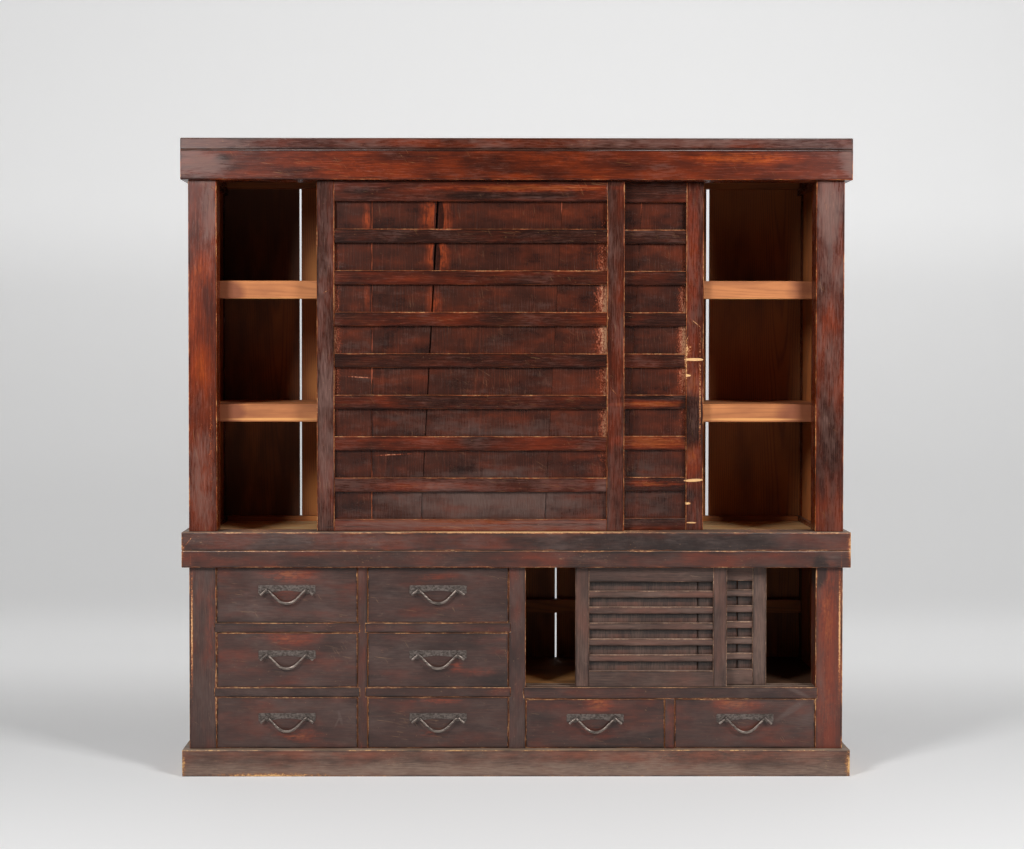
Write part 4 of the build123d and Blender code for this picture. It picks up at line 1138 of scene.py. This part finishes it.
def forge_bail(number):
    """The hanging bail: one bar, drawn round, flattened at its tips and swelling in its bow."""
    node = f"drawer_{number}_bail"
    joint = next(j for j in frame["joints"] if j["name"] == f"drawer_{number}_bail_hinge")
    pivot = Vector(joint["pos_m"])
    thickness = settings().handle.thickness
    half = bail_stations()
    mirrored = [(-x, z, -angle, height) for x, z, angle, height in reversed(half[:-1])]
    bm = bmesh.new()
    ring = bmesh.ops.create_circle(bm, cap_ends=True, segments=12, radius=0.5)["verts"]
    edges = [e for e in bm.edges if all(v in ring for v in e.verts)]
    before = Matrix.Identity(4)
    for index, (x, z, angle, height) in enumerate(half + mirrored):
        here = (
            Matrix.Translation(pivot + Vector((x, 0, z)))
            @ Matrix.Rotation(-angle, 4, "Y")
            @ Matrix.Rotation(pi / 2, 4, "Y")
            @ Matrix.Diagonal((height, thickness, 1, 1))
        )
        if index:
            edges, ring = extrude(bm, edges)
        bmesh.ops.transform(bm, matrix=here @ before.inverted(), verts=ring)
        before = here
    bmesh.ops.contextual_create(bm, geom=edges)
    bmesh.ops.recalc_face_normals(bm, faces=bm.faces[:])
    for face in bm.faces:
        face.smooth = len(face.verts) == 4
    piece = add_piece(f"drawer_{number}_forged_bail", bm, node)
    piece.data.materials.append(finish("bail"))


def dress_plate(number):
    """The back plate and its two split pins, with their edges eased."""
    handle = settings().handle
    node = f"drawer_{number}_handle_plate"
    bm = bmesh.new()
    bm.from_mesh(frame["nodes"][node].data)
    part, count = number_boards(bm)
    for index in range(count):
        radius = handle.pin_arris if index else handle.plate_arris
        ease_arrises(bm, [f for f in bm.faces if f[part] == index], radius, 2)
    bm.faces.layers.int.remove(part)
    piece = add_piece(f"drawer_{number}_forged_plate", bm, node)
    piece.data.materials.append(finish("plate"))


class CABINET_OT_handles(Operator):
    """Forges the eight handles: back plates with split pins, and hanging bails"""

    bl_idname = "cabinet.handles"
    bl_label = "Handles"

    def execute(self, context):
        for number in range(1, 9):
            dress_plate(number)
            forge_bail(number)
        return {"FINISHED"}


# Studio


def soft_lamp(name, azimuth):
    """A large soft lamp that looks at the middle of the cabinet."""
    studio = settings().studio
    lamp = bpy.data.lights.new(name, "AREA")
    lamp.shape = "RECTANGLE"
    lamp.size, lamp.size_y = studio.lamp_width, studio.lamp_height
    lamp.energy = studio.lamp_power
    made = bpy.data.objects.new(name, lamp)
    made.visible_camera = False
    bpy.context.scene.collection.objects.link(made)
    target = Vector((0, 0, 0.85))
    rise, reach = studio.lamp_elevation, studio.lamp_distance
    made.location = target + reach * Vector(
        (sin(azimuth) * cos(rise), -cos(azimuth) * cos(rise), sin(rise))
    )
    made.rotation_euler = (target - made.location).to_track_quat("-Z", "Y").to_euler()


# Steps of the paper's own light, from the floor in front, up the sweep: from, to, and rise. They
# paint a falloff of the studio's light, dim round the cabinet and brighter behind it
PAPER_PAINTED_FALLOFF = (
    (-0.9, 0.1, 0.02), (0.1, 1.5, 0.28), (1.75, 2.3, -0.095), (3.2, 4.1, -0.03),
    (4.15, 4.6, 0.095),
)


def background_paper():
    """Matt white background paper, lit by the lamps, whose own glow paints a falloff of the studio's
    light: dim round the cabinet, brighter up the sweep and to the right.

    Its own light is only there for rays from the camera, and for those that a shiny or clear
    surface sends on, so it adds none to the cabinet. The apron in front of it is for the camera
    alone, so that the lacquer doesn't mirror a bright floor. Only the paper's lit side shows, so
    that the cabinet can also be seen from behind the sweep.
    """
    material, tree = new_material("matt_background_paper")
    place = add(tree, "TexCoord").outputs["Object"]
    x, y, z = add(tree, "SeparateXYZ", (place,)).outputs
    # A painted falloff of the studio's light: the glow is a little brighter to the right
    level = add(tree, "MapRange", (x, -2.0, 2.0, 0.09, 0.13), **SMOOTH)
    run = add(tree, "Math", (y, z), operation="ADD")
    for low, high, rise in PAPER_PAINTED_FALLOFF:
        step = add(tree, "MapRange", (run, low, high, 0.0, rise), **SMOOTH)
        level = add(tree, "Math", (level, step), operation="ADD")
    rays = add(tree, "LightPath").outputs
    seen = rays["Is Camera Ray"]
    for sent_on in (rays["Is Glossy Ray"], rays["Is Transmission Ray"]):
        seen = add(tree, "Math", (seen, sent_on), operation="MAXIMUM")
    apron = add(tree, "MapRange", (y, -5.0, -1.2, 0.45, 0.0), **SMOOTH)
    apron = add(tree, "Math", (rays["Is Camera Ray"], apron), operation="MULTIPLY")
    glow = add(tree, "Math", (seen, level, apron), operation="MULTIPLY_ADD")
    paper = add(
        tree, "BsdfPrincipled",
        {"Base Color": settings().studio.paper, "Roughness": 0.9,
         "Emission Color": linear("#ffffff"), "Emission Strength": glow},
    )
    outside = add(tree, "NewGeometry").outputs["Backfacing"]
    clear = add(tree, "BsdfTransparent")
    surface = add(tree, "MixShader", (outside, paper, clear))
    add(tree, "OutputMaterial", {"Surface": surface})
    return material


def paper_sweep():
    """Floor and backdrop in one sweep, and a far floor behind it for views from the back."""
    studio = settings().studio
    reach, bend = studio.paper_reach, studio.paper_bend
    radius = studio.paper_radius
    bm = bmesh.new()
    last = [bm.edges.new([bm.verts.new((x, -reach, 0)) for x in (-reach, reach)])]
    last, corners = extrude(bm, last)
    bmesh.ops.translate(bm, verts=corners, vec=(0, bend + reach, 0))
    swept = bmesh.ops.spin(
        bm, geom=last, cent=(0, bend, radius), axis=(1, 0, 0), angle=radians(90), steps=24
    )["geom_last"]
    last, corners = extrude(bm, [g for g in swept if isinstance(g, bmesh.types.BMEdge)])
    bmesh.ops.translate(bm, verts=corners, vec=(0, 0, studio.paper_top - radius))
    bmesh.ops.recalc_face_normals(bm, faces=bm.faces[:])
    bm.faces.ensure_lookup_table()
    if bm.faces[0].normal.z < 0:
        bmesh.ops.reverse_faces(bm, faces=bm.faces[:])
    for face in bm.faces:
        face.smooth = True
    far = ((-reach, bend), (reach, bend), (reach, reach), (-reach, reach))
    bm.faces.new([bm.verts.new((x, y, 0)) for x, y in far])
    mesh = bpy.data.meshes.new("studio_sweep")
    bm.to_mesh(mesh)
    bm.free()
    sweep = bpy.data.objects.new("studio_sweep", mesh)
    bpy.context.scene.collection.objects.link(sweep)
    mesh.materials.append(background_paper())


def studio_air():
    """Faint even light, and a pale room beyond the paper.

    The room is there for the camera, for clear surfaces, and for shiny ones that face the back.
    Towards the front it would veil the dark lacquer, so there it gives them nothing.
    """
    world = bpy.data.worlds.new("studio_air")
    world.use_nodes = True
    tree = world.node_tree
    tree.nodes.clear()
    rays = add(tree, "LightPath").outputs
    ahead = add(tree, "SeparateXYZ", (add(tree, "TexCoord").outputs["Generated"],)).outputs["Y"]
    ahead = add(tree, "MapRange", (ahead, 0.0, 0.2), **SMOOTH)
    seen = add(tree, "Math", (rays["Is Glossy Ray"], ahead), operation="MULTIPLY")
    for sent_on in (rays["Is Transmission Ray"], rays["Is Camera Ray"]):
        seen = add(tree, "Math", (seen, sent_on), operation="MAXIMUM")
    strength = add(tree, "Math", (seen, 0.6, 0.02), operation="MULTIPLY_ADD")
    air = add(tree, "Background", {"Color": linear("#ffffff"), "Strength": strength})
    add(tree, "OutputWorld", {"Surface": air})
    bpy.context.scene.world = world


def studio_camera():
    """The camera that the pictures are taken with."""
    studio = settings().studio
    scene = bpy.context.scene
    lens = bpy.data.cameras.new("studio_camera")
    lens.sensor_width = 36
    lens.lens = studio.lens
    lens.shift_x, lens.shift_y = studio.shift
    camera = bpy.data.objects.new("studio_camera", lens)
    camera.location = studio.camera_place
    camera.rotation_euler = studio.camera_turn
    scene.collection.objects.link(camera)
    scene.camera = camera
    scene.view_settings.view_transform = "Standard"


class CABINET_OT_studio(Operator):
    """Makes the floor, the backdrop, the lamps, the world and the camera"""

    bl_idname = "cabinet.studio"
    bl_label = "Studio"

    def execute(self, context):
        paper_sweep()
        for side, azimuth in zip(("left", "right"), settings().studio.lamp_azimuths):
            soft_lamp(side + "_lamp", azimuth)
        studio_air()
        studio_camera()
        return {"FINISHED"}


STEPS = (
    CABINET_OT_studio,
    CABINET_OT_upper_case,
    CABINET_OT_lower_case,
    CABINET_OT_battened_doors,
    CABINET_OT_slatted_doors,
    CABINET_OT_drawers,
    CABINET_OT_handles,
)


class CABINET_PT_panel(Panel):
    """Lists the steps that dress the cabinet"""

    bl_idname = "CABINET_PT_panel"
    bl_label = "Cabinet"
    bl_space_type = "VIEW_3D"
    bl_region_type = "UI"
    bl_category = "Cabinet"

    def draw(self, context):
        for step in STEPS:
            self.layout.operator(step.bl_idname)


CLASSES = (
    CaseLacquer,
    BattenLacquer,
    PanelLacquer,
    DrawerLacquer,
    BaseLacquer,
    SlatLacquer,
    CedarSettings,
    BoardSettings,
    IronSettings,
    HandleSettings,
    StudioSettings,
    CabinetSettings,
    *STEPS,
    CABINET_PT_panel,
)


def register():
    for made in CLASSES:
        bpy.utils.register_class(made)
    bpy.types.Scene.cabinet = PointerProperty(type=CabinetSettings)


def unregister():
    del bpy.types.Scene.cabinet
    for made in reversed(CLASSES):
        bpy.utils.unregister_class(made)


def main():
    register()
    for step in STEPS:
        group, name = step.bl_idname.split(".")
        getattr(getattr(bpy.ops, group), name)()


if __name__ == "__main__":
    main()
